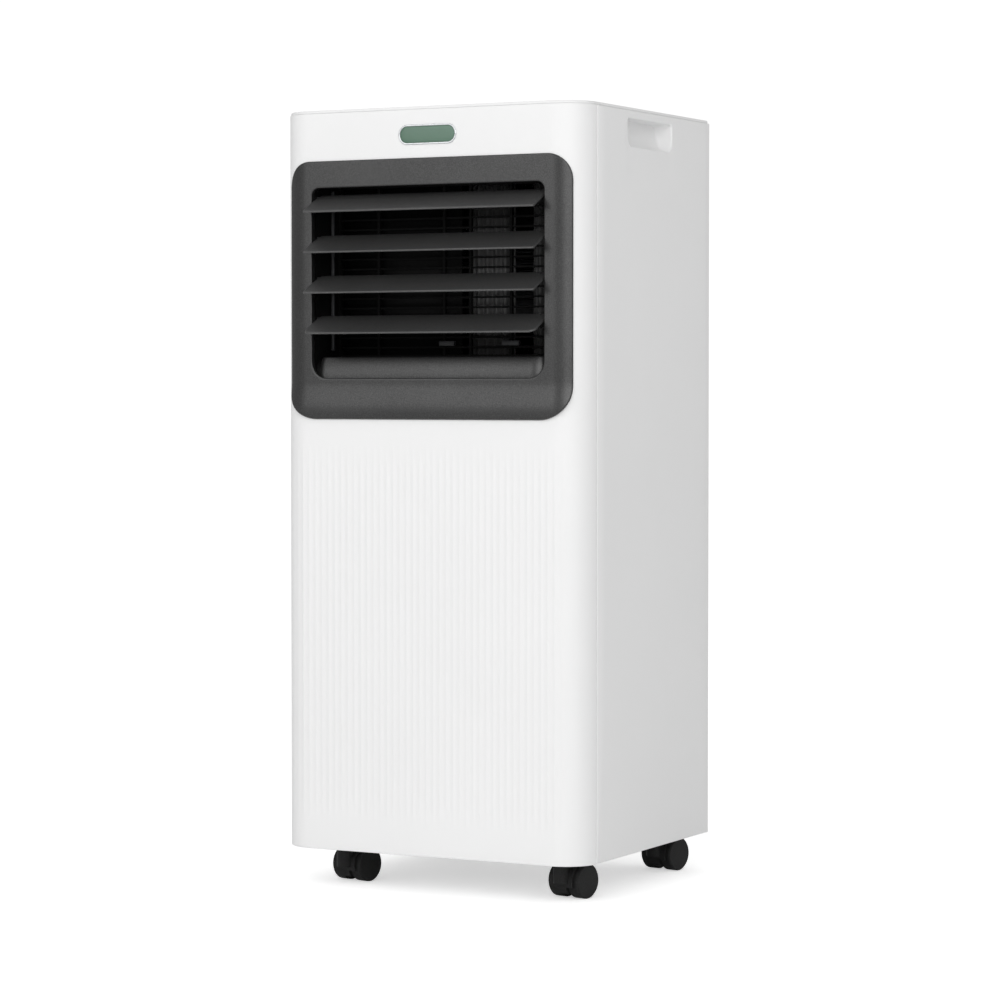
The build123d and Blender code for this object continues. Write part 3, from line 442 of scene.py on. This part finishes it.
def front_moulding():
    """Skin: outline at s, pushed in by the flute depth, rolled in at all four edges."""
    s, z = front_columns(), front_rows()
    ss, zz = np.meshgrid(s, z)
    fade = smooth(zz, FLUTE_Z[0], FLUTE_Z[1]) * (1 - smooth(zz, FLUTE_Z[2], FLUTE_Z[3]))
    inset = flute_depth(ss) * fade
    inset = inset + seam_drop(S_END - np.abs(ss)) + ease(zz - BASE_Z, EDGE_R) + ease(TOP_Z - zz, TOP_R)
    points = on_front(ss, zz, -inset)
    faces = quads(len(z), len(s))
    mid_s = ((ss[:-1, :-1] + ss[1:, 1:]) / 2).ravel()
    mid_z = ((zz[:-1, :-1] + zz[1:, 1:]) / 2).ravel()
    hidden = in_window(mid_s, mid_z, BEZEL_S - COVERED, bezel_lo[2] + COVERED, bezel_hi[2] - COVERED,
                       FRAME_R_TOP - COVERED, FRAME_R_LOW - COVERED)
    obj = piece("front_moulding", points, [faces[~hidden]], "cabinet", white_abs,
                ["front_panel"], toward=(0, -1, 0))
    flutes = int(2 * (S_END - FLUTE_FREE) / FLUTE_PITCH)
    print("front moulding: %d flutes, %d faces" % (flutes, (~hidden).sum()))
    return thicken(obj, 2.4 * MM)


front_moulding()

# %% [markdown]
# Frames, pockets and badges share one construction: nested rounded rectangles with the same
# number of points, each with its own size, corner radii and height, joined ring to ring. The
# corners are quarter circles, so a ring stays smooth however small it gets.

# %% Rounded rectangle rings
def ring(u0, u1, v0, v1, r_low, r_high, turn=10, side=6):
    """Closed outline in (u, v), counter-clockwise from the low right corner, with two corner radii."""
    corners = [(u1 - r_low, v0 + r_low, r_low, -90), (u1 - r_high, v1 - r_high, r_high, 0),
               (u0 + r_high, v1 - r_high, r_high, 90), (u0 + r_low, v0 + r_low, r_low, 180)]
    arcs = []
    for cu, cv, r, start in corners:
        a = np.radians(start + np.linspace(0, 90, turn))
        arcs.append(np.stack([cu + r * np.cos(a), cv + r * np.sin(a)], axis=-1))
    out = []
    for k, arc in enumerate(arcs):
        nxt = arcs[(k + 1) % 4][0]
        t = np.linspace(0, 1, side + 2)[1:-1, None]
        out += [arc, arc[-1] * (1 - t) + nxt * t]
    return np.concatenate(out)


def loft(rings_3d, cap_start=False, cap_end=False):
    """Points and faces of rings joined in order, with optional fan caps."""
    n = len(rings_3d[0])
    points = np.concatenate(rings_3d)
    faces = [quads(len(rings_3d), n, ring=True)]
    k = np.arange(n)
    if cap_start:
        points = np.concatenate([points, rings_3d[0].mean(axis=0, keepdims=True)])
        faces.append(np.stack([np.full(n, len(points) - 1), (k + 1) % n, k], axis=-1))
    if cap_end:
        points = np.concatenate([points, rings_3d[-1].mean(axis=0, keepdims=True)])
        last = (len(rings_3d) - 1) * n
        faces.append(np.stack([np.full(n, len(points) - 1), last + k, last + (k + 1) % n], axis=-1))
    return points, faces

# %% [markdown]
# The outlet frame is a ring between the outer outline, which reaches a little way round both
# corners, and the opening. It stands 1.4 mm proud with eased edges, turns back into the opening,
# and its lower band swells forward like a chin, which is why that band is the brightest part.

# %% Outlet frame
OPEN_HALF = 114.5 * MM
OPEN_Z = (BASE_Z + 415.5 * MM, BASE_Z + 582.0 * MM)
OPEN_R_LOW, OPEN_R_TOP = 15 * MM, 7 * MM
FRAME_PROUD = 1.4 * MM
CHIN = 2.6 * MM


def chin(z):
    """Extra forward swell of the lower band: rises from the opening down, and rolls under at the edge."""
    rise = 1 - smooth(z, bezel_lo[2] + 9 * MM, OPEN_Z[0] - 4 * MM)
    under = ease(z - bezel_lo[2], 7 * MM) / (7 * MM)
    return CHIN * rise * (1 - under)


def frame_ring(t, proud, into=0.0):
    """Ring a fraction t of the way from the outer outline (0) to the opening (1), then moved."""
    outer = ring(-BEZEL_S, BEZEL_S, bezel_lo[2], bezel_hi[2], FRAME_R_LOW, FRAME_R_TOP, 14, 24)
    inner = ring(-OPEN_HALF, OPEN_HALF, *OPEN_Z, OPEN_R_LOW, OPEN_R_TOP, 14, 24)
    flat = outer * (1 - t) + inner * t
    swell = chin(flat[:, 1]) if into == 0 else 0.0
    return on_front(flat[:, 0], flat[:, 1], proud + swell - into)


def outlet_frame():
    """Rings from behind the moulding, over the eased outer edge, across the face and into the opening."""
    steps = [frame_ring(0.0, -1.5 * MM, 1e-9)]
    for k in np.linspace(0, math.pi / 2, 6):
        steps.append(frame_ring(0.04 * (1 - math.cos(k)), FRAME_PROUD * math.sin(k)))
    for t in np.linspace(0.08, 0.93, 20):
        steps.append(frame_ring(t, FRAME_PROUD))
    for k in np.linspace(0, math.pi / 2, 6):
        steps.append(frame_ring(0.955 + 0.045 * math.sin(k), FRAME_PROUD - 0.8 * MM * (1 - math.cos(k))))
    steps.append(frame_ring(1.0, FRAME_PROUD, 3 * MM))
    steps.append(frame_ring(1.0, FRAME_PROUD, 7.5 * MM))
    points, faces = loft(steps[::-1])
    obj = piece("outlet_frame", points, faces, "cabinet", fleck_abs,
                ["outlet_bezel"], 50, (0, -1, 0))
    print("outlet frame: %d rings of %d points" % (len(steps), len(steps[0])))
    return thicken(obj, 1.0 * MM)


outlet_frame()

# %% [markdown]
# Below the louvres a lip closes the bottom of the opening. Its face leans back more and more,
# then rolls level; its left end is rounded, and it is moulded in the same metallic plastic.

# %% Lower lip
LIP_X = (-111.0 * MM, 114.2 * MM)
LIP_RISE, LIP_ROLL, LIP_DEEP, LIP_END_R = 18.5 * MM, 2.2 * MM, 17.6 * MM, 8.0 * MM
LIP_LEAN = math.radians(27)


def lip_profile():
    """Depth and height up the face: a lean that grows evenly to LIP_LEAN, then a roll to level."""
    lean = np.linspace(0, LIP_LEAN, 15)
    up = np.linspace(0, LIP_RISE - LIP_ROLL * (1 - math.sin(LIP_LEAN)), 15)
    back = np.concatenate([[0], np.cumsum(np.diff(up) * np.tan((lean[1:] + lean[:-1]) / 2))])
    a = np.linspace(LIP_LEAN, math.pi / 2, 10)[1:]
    depth = np.concatenate([back, back[-1] + LIP_ROLL * (math.cos(LIP_LEAN) - np.cos(a)), [LIP_DEEP]])
    height = np.concatenate([up, up[-1] + LIP_ROLL * (np.sin(a) - math.sin(LIP_LEAN)), [LIP_RISE]])
    return depth[:, None], height[:, None]


def outlet_lip():
    """The profile carried along X; towards the left end it falls back and down by a quarter circle."""
    depth, height = lip_profile()
    end = LIP_X[0] + LIP_END_R * (1 - np.cos(np.linspace(0, math.pi / 2, 12)))
    x = np.concatenate([end, np.linspace(LIP_X[0] + 12 * MM, LIP_X[1], 14)])
    cut = (ease(x - LIP_X[0], LIP_END_R) / LIP_END_R)[None, :]
    y = FRONT_Y + 1.3 * MM + depth + LIP_END_R * cut * (1 - depth / LIP_DEEP)
    z = OPEN_Z[0] + 0.2 * MM + height - 2.5 * MM * cut * height / LIP_RISE
    top = np.stack([np.broadcast_to(x, y.shape), y, z], axis=-1)
    back = top[-1:].copy()
    back[..., 1] += 3 * MM
    drop = back.copy()
    drop[..., 2] = OPEN_Z[0] - 0.5 * MM
    under = top[:1].copy()
    under[..., 2] = OPEN_Z[0] - 0.5 * MM
    grid = np.concatenate([under, top, back, drop])
    obj = piece("outlet_lower_lip", grid, [quads(len(grid), len(x))], "cabinet",
                fleck_abs, (), 60, (0, -1, 1))
    print("lower lip: %.1f mm high, %.1f mm long" % (LIP_RISE / MM, (LIP_X[1] - LIP_X[0]) / MM))
    return thicken(obj, 1.0 * MM)


outlet_lip()

# %% [markdown]
# A louvre is a thin blade: its section is a slightly cambered strip with rounded noses, carried
# along X and closed at both ends. The lowest blade has large rounded front corners. The blades
# are built flat about their pivot and then laid at their rest slope.

# %% Louvres
LOUVRE_HALF, LOUVRE_FRONT, LOUVRE_REAR, LOUVRE_T = 113.2 * MM, 31.2 * MM, 4.0 * MM, 1.9 * MM
LOUVRE_CAMBER = 0.9 * MM
LOUVRE_TILT = math.radians(24.7)
LOUVRE_Y = CABINET_Y - 121.6 * MM
TOP_PIVOT_Z, LOUVRE_PITCH = BASE_Z + 573.7 * MM, 35.3 * MM
ARM_TURN, ARM_REACH = math.radians(-30), 10 * MM


def blade_section(front):
    """Closed section in (along, up): a strip of constant thickness on a shallow arc, noses half round."""
    t = np.linspace(0, 1, 15)
    along = -front + t * (front + LOUVRE_REAR)
    camber = LOUVRE_CAMBER * np.sin(math.pi * t)
    half = LOUVRE_T / 2
    a = np.linspace(math.pi / 2, 3 * math.pi / 2, 7)[1:-1]
    nose = np.stack([-front + half * np.cos(a), half * np.sin(a)], axis=-1)
    tail = np.stack([LOUVRE_REAR - half * np.cos(a), -half * np.sin(a)], axis=-1)
    upper = np.stack([along, camber + half], axis=-1)[::-1]
    lower = np.stack([along, camber - half], axis=-1)
    return np.concatenate([upper, nose, lower, tail])


def rod(x0, x1, y, z, r, sides=20):
    """Closed round rod along X with a small chamfer at each end."""
    a = np.linspace(0, 2 * math.pi, sides, endpoint=False)
    rings = []
    for x, rr in ((x0, r * 0.8), (x0 + 0.3 * MM, r), (x1 - 0.3 * MM, r), (x1, r * 0.8)):
        rings.append(np.stack([np.full(sides, x), y + rr * np.cos(a), z + rr * np.sin(a)], axis=-1))
    return loft(rings, True, True)


def join(parts):
    """Points and faces of several closed shapes as one set."""
    points, faces, start = [], [], 0
    for p, blocks in parts:
        points.append(p)
        faces += [b + start for b in outward(p, blocks)]
        start += len(p)
    return np.concatenate(points), faces


def turned(u, v, angle):
    """Coordinates (u, v) turned about the origin by an angle."""
    c, s = math.cos(angle), math.sin(angle)
    return u * c - v * s, u * s + v * c


def blade(corner):
    """Sections along X whose front is cut back at both ends by a round of radius corner."""
    ends = corner * (1 - np.cos(np.linspace(0, math.pi / 2, 9)))
    x = np.concatenate([-LOUVRE_HALF + ends, np.linspace(-104, 104, 9) * MM, (LOUVRE_HALF - ends)[::-1]])
    rings = []
    for xi, cut in zip(x, ease(LOUVRE_HALF - np.abs(x), corner)):
        sec = blade_section(LOUVRE_FRONT - cut)
        rings.append(np.stack([np.full(len(sec), xi), sec[:, 0], sec[:, 1]], axis=-1))
    return loft(rings, True, True)


def lever():
    """Flat arm with round ends, from the pivot to ARM_REACH at ARM_TURN."""
    side = ring(-1.8 * MM, 11.8 * MM, -1.7 * MM, 1.7 * MM, 1.6 * MM, 1.6 * MM, 6, 2)
    along, up = turned(side[:, 0], side[:, 1], ARM_TURN)
    return loft([np.stack([np.full(len(side), x), along, up], axis=-1) for x in (102.6 * MM, 105.4 * MM)],
                True, True)


def louvre(index, pivot_z):
    """Blade, two end pins and the drive lever with its pin, turned to the rest slope about the pivot."""
    pins = [rod(x * MM, (x + 5) * MM, 0, 0, 1.5 * MM) for x in (-117, 112)]
    pins.append(rod(104 * MM, 110.2 * MM, *turned(ARM_REACH, 0, ARM_TURN), 1.25 * MM))
    corner = 6 * MM if index == 4 else 1.2 * MM
    points, faces = join([blade(corner), *pins, lever()])
    y, z = turned(points[:, 1], points[:, 2], LOUVRE_TILT)
    points = np.stack([points[:, 0], y + LOUVRE_Y, z + pivot_z], axis=-1)
    name = "louvre_%d" % index
    return piece("blade_%d" % index, points, faces, name, louvre_abs, [name], 40)


for k in range(4):
    louvre(k + 1, TOP_PIVOT_Z - LOUVRE_PITCH * k)
depth_mm = (LOUVRE_FRONT + LOUVRE_REAR) / MM
print("four louvres, %.0f mm long and %.1f mm deep" % (2 * LOUVRE_HALF / MM, depth_mm))

# %% [markdown]
# A side moulding is flat, with one scooped finger pocket. It is a set of nested rings too: the
# panel's outline with a rolled edge, then rings closing in on the pocket's mouth, a small round
# over the mouth's edge, and the scoop. The scoop's floor follows a quarter ellipse, so it starts
# level at the mouth and ends upright under the flat soffit that the fingers hook behind.

# %% Side mouldings with finger scoops
SIDE_Y = (side_lo[1] - SEAM_FILL, side_hi[1])
MOUTH_Y = (CABINET_Y - 42.3 * MM, CABINET_Y + 47.5 * MM)
MOUTH_Z = (BASE_Z + 616.2 * MM, BASE_Z + 640.2 * MM)
MOUTH_ROUND, MOUTH_R_LOW, MOUTH_R_TOP = 1.4 * MM, 9 * MM, 3 * MM
SCOOP_DEPTH = 16 * MM
# How far the front, rear, lower and upper side of the mouth move by the end of the scoop.
SCOOP_SHRINK = np.array([5.3, -4.5, 21.5, -0.4]) * MM


def side_ring(side, box_yz, r_low, r_high, depth):
    """Rounded rectangle on the side face, sunk by depth."""
    flat = ring(*box_yz, r_low, r_high, 10, 10)
    return np.stack([np.full(len(flat), side * (HALF_W - depth)), flat[:, 0], flat[:, 1]], axis=-1)


def side_moulding(side, name):
    """Rings: hidden wall edge, rolled outline, inwards to the mouth, its rounded edge, then the scoop."""
    outline = np.array([*SIDE_Y, BASE_Z, TOP_Z])
    mouth = np.array([*MOUTH_Y, *MOUTH_Z])
    shrink = np.array([1, -1, 1, -1])
    small = 0.4 * MM
    rings = [side_ring(side, outline, 0.3 * MM, 0.3 * MM, 2.4 * MM)]
    for a in np.linspace(0, math.pi / 2, 6):
        inset = np.array([SIDE_R * 0.35, SIDE_R, SIDE_R, TOP_R]) * (1 - math.cos(a))
        depth = SIDE_R * (1 - math.sin(a))
        rings.append(side_ring(side, outline + shrink * inset, small, small, depth))
    wide = mouth - shrink * MOUTH_ROUND
    for t in (0.25, 0.5, 0.75, 0.92, 1.0):
        flat = (outline + shrink * SIDE_R) * (1 - t) + wide * t
        rings.append(side_ring(side, flat, MOUTH_R_LOW * t + small, MOUTH_R_TOP * t + small, 0.0))
    for a in np.linspace(0, math.pi / 2, 6)[1:]:
        edge = wide + shrink * MOUTH_ROUND * math.sin(a)
        rings.append(side_ring(side, edge, MOUTH_R_LOW, MOUTH_R_TOP, MOUTH_ROUND * (1 - math.cos(a))))
    for t in np.linspace(0, 1, 18)[1:]:
        curve = 1 - math.cos(t * math.pi / 2)
        hole = mouth + SCOOP_SHRINK * curve
        r = min(MOUTH_R_LOW * (1 - curve) + 1.0 * MM, (hole[3] - hole[2]) / 2.2)
        depth = MOUTH_ROUND + (SCOOP_DEPTH - MOUTH_ROUND) * math.sin(t * math.pi / 2)
        rings.append(side_ring(side, hole, r, min(2 * MM, r), depth))
    points, faces = loft(rings, cap_end=True)
    obj = piece(name + "_moulding", points, faces, "cabinet", white_abs, [name],
                50, (side, 0, 0))
    return thicken(obj, 1.0 * MM)


side_moulding(1, "side_panel_right")
side_moulding(-1, "side_panel_left")
mouth_mm = (MOUTH_Y[1] - MOUTH_Y[0]) / MM
print("side mouldings: scoop %.0f mm long and %.0f mm deep" % (mouth_mm, SCOOP_DEPTH / MM))

# %% [markdown]
# The badge is a plain lozenge: a bright rim standing on the front and an enamel field inside it,
# slightly domed. It carries no lettering and no device.

# %% Badge
BADGE_BOX = np.array([badge_lo[0], badge_hi[0], badge_lo[2], badge_hi[2]])


def lozenge(name, insets, prouds, finish, stands_for=()):
    """Rings of the lozenge outline at given insets and heights above the front plane."""
    rings = []
    for inset, proud in zip(insets, prouds):
        box = BADGE_BOX + np.array([1, -1, 1, -1]) * inset * MM
        r = (box[3] - box[2]) / 2.02
        flat = ring(*box, r, r, 16, 8)
        rings.append(np.stack([flat[:, 0], np.full(len(flat), FRONT_Y - proud * MM), flat[:, 1]], axis=-1))
    points, faces = loft(rings, cap_start=True, cap_end=True)
    return piece(name, points, faces, "cabinet", finish, stands_for, 50, (0, -1, 0))


lozenge("badge_rim", [0, 0, 0.15, 0.5, 1.2, 1.5, 1.5], [-0.6, 0.5, 0.75, 0.9, 0.9, 0.7, 0.1], satin_silver,
        ["badge_plate"])
lozenge("badge_field", [1.5, 1.6, 2.2, 3.4, 5.0, 7.0], [0.1, 0.25, 0.42, 0.55, 0.62, 0.65], green_enamel)
print("badge: plain lozenge %.0f mm wide" % ((badge_hi[0] - badge_lo[0]) / MM))

# %% [markdown]
# Behind the guard a grey air straightener shows on the right: a corrugated sheet, whose depth is a
# sine of x, so each fold catches its own thin stripe of light. A flat black sheet fills the left as painted
# shade.
# Two small clips stand on the duct floor, and a pale bead of the duct shows on the far left.

# %% Inside the duct
def block(x0, x1, y0, y1, z0, z1):
    """Closed box with its eight corners, in metres."""
    rings = [np.array([[x, y0, z0], [x, y1, z0], [x, y1, z1], [x, y0, z1]]) for x in (x0, x1)]
    return loft(rings, True, True)


def straightener():
    """Depth y = y0 + a sin(2 pi x / pitch) over a tall sheet, in two stretches of x."""
    parts = []
    for x0, x1 in ((15.0, 60.0), (77.5, 100.0)):
        x = np.linspace(x0, x1, int((x1 - x0) * 4) + 1) * MM
        z = BASE_Z + np.array([436.0, 510.0, 584.0]) * MM
        xx, zz = np.meshgrid(x, z)
        yy = CABINET_Y + (-79.5 + 1.5 * np.sin(2 * math.pi * xx / (8.6 * MM))) * MM
        parts.append((np.stack([xx, yy, zz], axis=-1).reshape(-1, 3), [quads(3, len(x))]))
    points = np.concatenate([p for p, _ in parts])
    faces = [parts[0][1][0], parts[1][1][0] + len(parts[0][0])]
    obj = piece("air_straightener", points, faces, "cabinet", vane_abs, toward=(0, -1, 0))
    return thicken(obj, 0.8 * MM)


def shade_sheet():
    """Flat black sheet beside the straightener: painted shade that makes the left half of the duct one dark
    plane.
    """
    y = CABINET_Y - 80 * MM
    points, faces = block(-112 * MM, 7 * MM, y, y + 1.2 * MM, BASE_Z + 432 * MM, BASE_Z + 584 * MM)
    return piece("duct_shade_sheet", points, faces, "cabinet", duct_shade_pp)


def duct_clips():
    """Two clips on the duct floor and an upright bead near the left wall."""
    y, z = CABINET_Y, BASE_Z
    parts = [block(x0 * MM, x1 * MM, y - 90 * MM, y - 85.4 * MM, z + 443.6 * MM, z + 448.2 * MM)
             for x0, x1 in ((-11.0, 4.0), (51.0, 68.0))]
    parts.append(block(-112 * MM, -109.5 * MM, y - 104 * MM, y - 101 * MM, z + 440 * MM, z + 581 * MM))
    points, faces = join(parts)
    obj = piece("duct_clips", points, faces, "cabinet", fan_pp)
    round_edges(obj, 0.5)


def round_edges(obj, width_mm, segments=2, angle=38):
    """Bevel modifier that turns sharp edges into small rounds of one width."""
    soft = obj.modifiers.new("eased edges", "BEVEL")
    soft.width, soft.segments = width_mm * MM, segments
    soft.limit_method, soft.angle_limit = "ANGLE", math.radians(angle)
    soft.use_clamp_overlap, soft.harden_normals = True, False


straightener()
shade_sheet()
duct_clips()
print("straightener and clips placed")

# %% [markdown]
# The camera stands in front and to the right, a little above the outlet, with a long lens, so
# uprights stay nearly parallel. Its place is set out from the cabinet's own middle.

# %% Camera
AZIMUTH, PITCH = math.radians(27.75), math.radians(1.975)
DISTANCE, ASIDE, RAISED = 2.9594, 0.00211, 0.4082
LENS, SENSOR = 118.4, 36.0


def stand_camera():
    """Camera at DISTANCE from the cabinet's middle, turned by AZIMUTH and tipped down by PITCH."""
    cam = bpy.data.objects.new("camera", bpy.data.cameras.new("camera"))
    bpy.context.scene.collection.objects.link(cam)
    cam.data.lens, cam.data.sensor_width = LENS, SENSOR
    cam.data.clip_start, cam.data.clip_end = 0.1, 60.0
    ahead = np.array([-math.sin(AZIMUTH), math.cos(AZIMUTH), 0.0])
    right = np.array([math.cos(AZIMUTH), math.sin(AZIMUTH), 0.0])
    up = np.array([0.0, 0.0, 1.0])
    spot = -ahead * DISTANCE + right * ASIDE + up * (RAISED + BASE_Z) + np.array([0, CABINET_Y, 0])
    look = ahead * math.cos(PITCH) - up * math.sin(PITCH)
    lift = up * math.cos(PITCH) + ahead * math.sin(PITCH)
    turn = Matrix([[*v] for v in np.stack([right, lift, -look], axis=1).tolist()]).to_4x4()
    cam.matrix_world = Matrix.Translation(spot.tolist()) @ turn
    bpy.context.scene.camera = cam
    return cam


camera = stand_camera()
print("camera at", [round(v, 3) for v in camera.matrix_world.translation])

# %% [markdown]
# A product shot on white: a pale floor, an even bright surround, and two large soft panels. The
# key stands to the right, the weaker fill to the left, where it draws the sheen on the frame's
# chin. The front is the lightest face, the side a step darker, and no edge of light is hard.

# %% Floor and light
FLOOR_R, FLOOR_SIDES = 14.0, 96


def floor():
    """Large pale disc under the castors."""
    a = np.linspace(0, 2 * math.pi, FLOOR_SIDES, endpoint=False)
    rim = np.stack([FLOOR_R * np.cos(a), FLOOR_R * np.sin(a), np.zeros(FLOOR_SIDES)], axis=-1)
    mesh = bpy.data.meshes.new("floor")
    wedges = [(0, k + 1, (k + 1) % FLOOR_SIDES + 1) for k in range(FLOOR_SIDES)]
    mesh.from_pydata([(0, 0, 0)] + rim.tolist(), [], wedges)
    obj = bpy.data.objects.new("floor", mesh)
    bpy.context.scene.collection.objects.link(obj)
    mat, t, out = material("pale studio floor")
    at = add(t, "ShaderNodeTexCoord").outputs["Object"]
    cloud = add(t, "ShaderNodeTexNoise", Vector=at, Scale=1.5, Detail=2.0).outputs["Fac"]
    tint = ramp(t, cloud, [(0.3, srgb("f7f7f7")), (0.7, srgb("fafafa"))])
    plain = add(t, "ShaderNodeBsdfPrincipled", Base_Color=tint, Roughness=0.9, Specular_IOR_Level=0.0)
    lifted = add(t, "ShaderNodeBsdfPrincipled", Base_Color=tint, Roughness=0.9, Specular_IOR_Level=0.0,
                 Emission_Color=(1, 1, 1, 1), Emission_Strength=0.5)
    shader = add(t, "ShaderNodeMixShader", Fac=add(t, "ShaderNodeLightPath").outputs["Is Camera Ray"],
                 i1=plain.outputs[0], i2=lifted.outputs[0])
    t.links.new(shader.outputs[0], out.inputs[0])
    obj.data.materials.append(mat)


def surround(base, lobe, spread, towards):
    """Background of an even level plus one broad lobe: lobe times the cosine to an aim, to a power."""
    world = bpy.data.worlds.new("soft surround")
    bpy.context.scene.world = world
    world.use_nodes = True
    t = world.node_tree
    t.nodes.clear()
    way = add(t, "ShaderNodeTexCoord").outputs["Generated"]
    aim = np.array(towards) / np.linalg.norm(towards)
    facing = add(t, "ShaderNodeVectorMath", {"operation": "DOT_PRODUCT"}, i0=way,
                 i1=tuple(aim)).outputs["Value"]
    front = add(t, "ShaderNodeMath", {"operation": "MAXIMUM"}, i0=facing, i1=0.0).outputs[0]
    shaped = add(t, "ShaderNodeMath", {"operation": "POWER"}, i0=front, i1=spread).outputs[0]
    level = add(t, "ShaderNodeMath", {"operation": "MULTIPLY_ADD"}, i0=shaped, i1=lobe, i2=base).outputs[0]
    lit = add(t, "ShaderNodeBackground", Color=srgb("ffffff"), Strength=level)
    seen = add(t, "ShaderNodeBackground", Color=srgb("ffffff"), Strength=1.05)
    pick = add(t, "ShaderNodeMixShader", Fac=add(t, "ShaderNodeLightPath").outputs["Is Camera Ray"],
               i1=lit.outputs[0], i2=seen.outputs[0])
    end = add(t, "ShaderNodeOutputWorld")
    t.links.new(pick.outputs[0], end.inputs[0])


def softbox(name, place, aim, size, power):
    """Rectangular area light facing a point."""
    light = bpy.data.lights.new(name, "AREA")
    light.shape, light.size, light.size_y, light.energy = "RECTANGLE", *size, power
    obj = bpy.data.objects.new(name, light)
    bpy.context.scene.collection.objects.link(obj)
    obj.location = place
    way = np.array(aim) - np.array(place)
    obj.rotation_euler = Vector(way.tolist()).to_track_quat("-Z", "Y").to_euler()


floor()
surround(0.47, 0.30, 2.5, (-0.05, -0.55, 0.83))
softbox("fill", (-0.95, -2.6, 1.3), (0, 0, 0.4), (1.5, 1.5), 12)
softbox("key", (1.7, -2.3, 1.4), (0, 0, 0.4), (1.8, 1.8), 27)
bpy.context.scene.view_settings.view_transform = "Standard"
bpy.context.scene.view_settings.look = "None"
print("floor, surround, fill and key set")
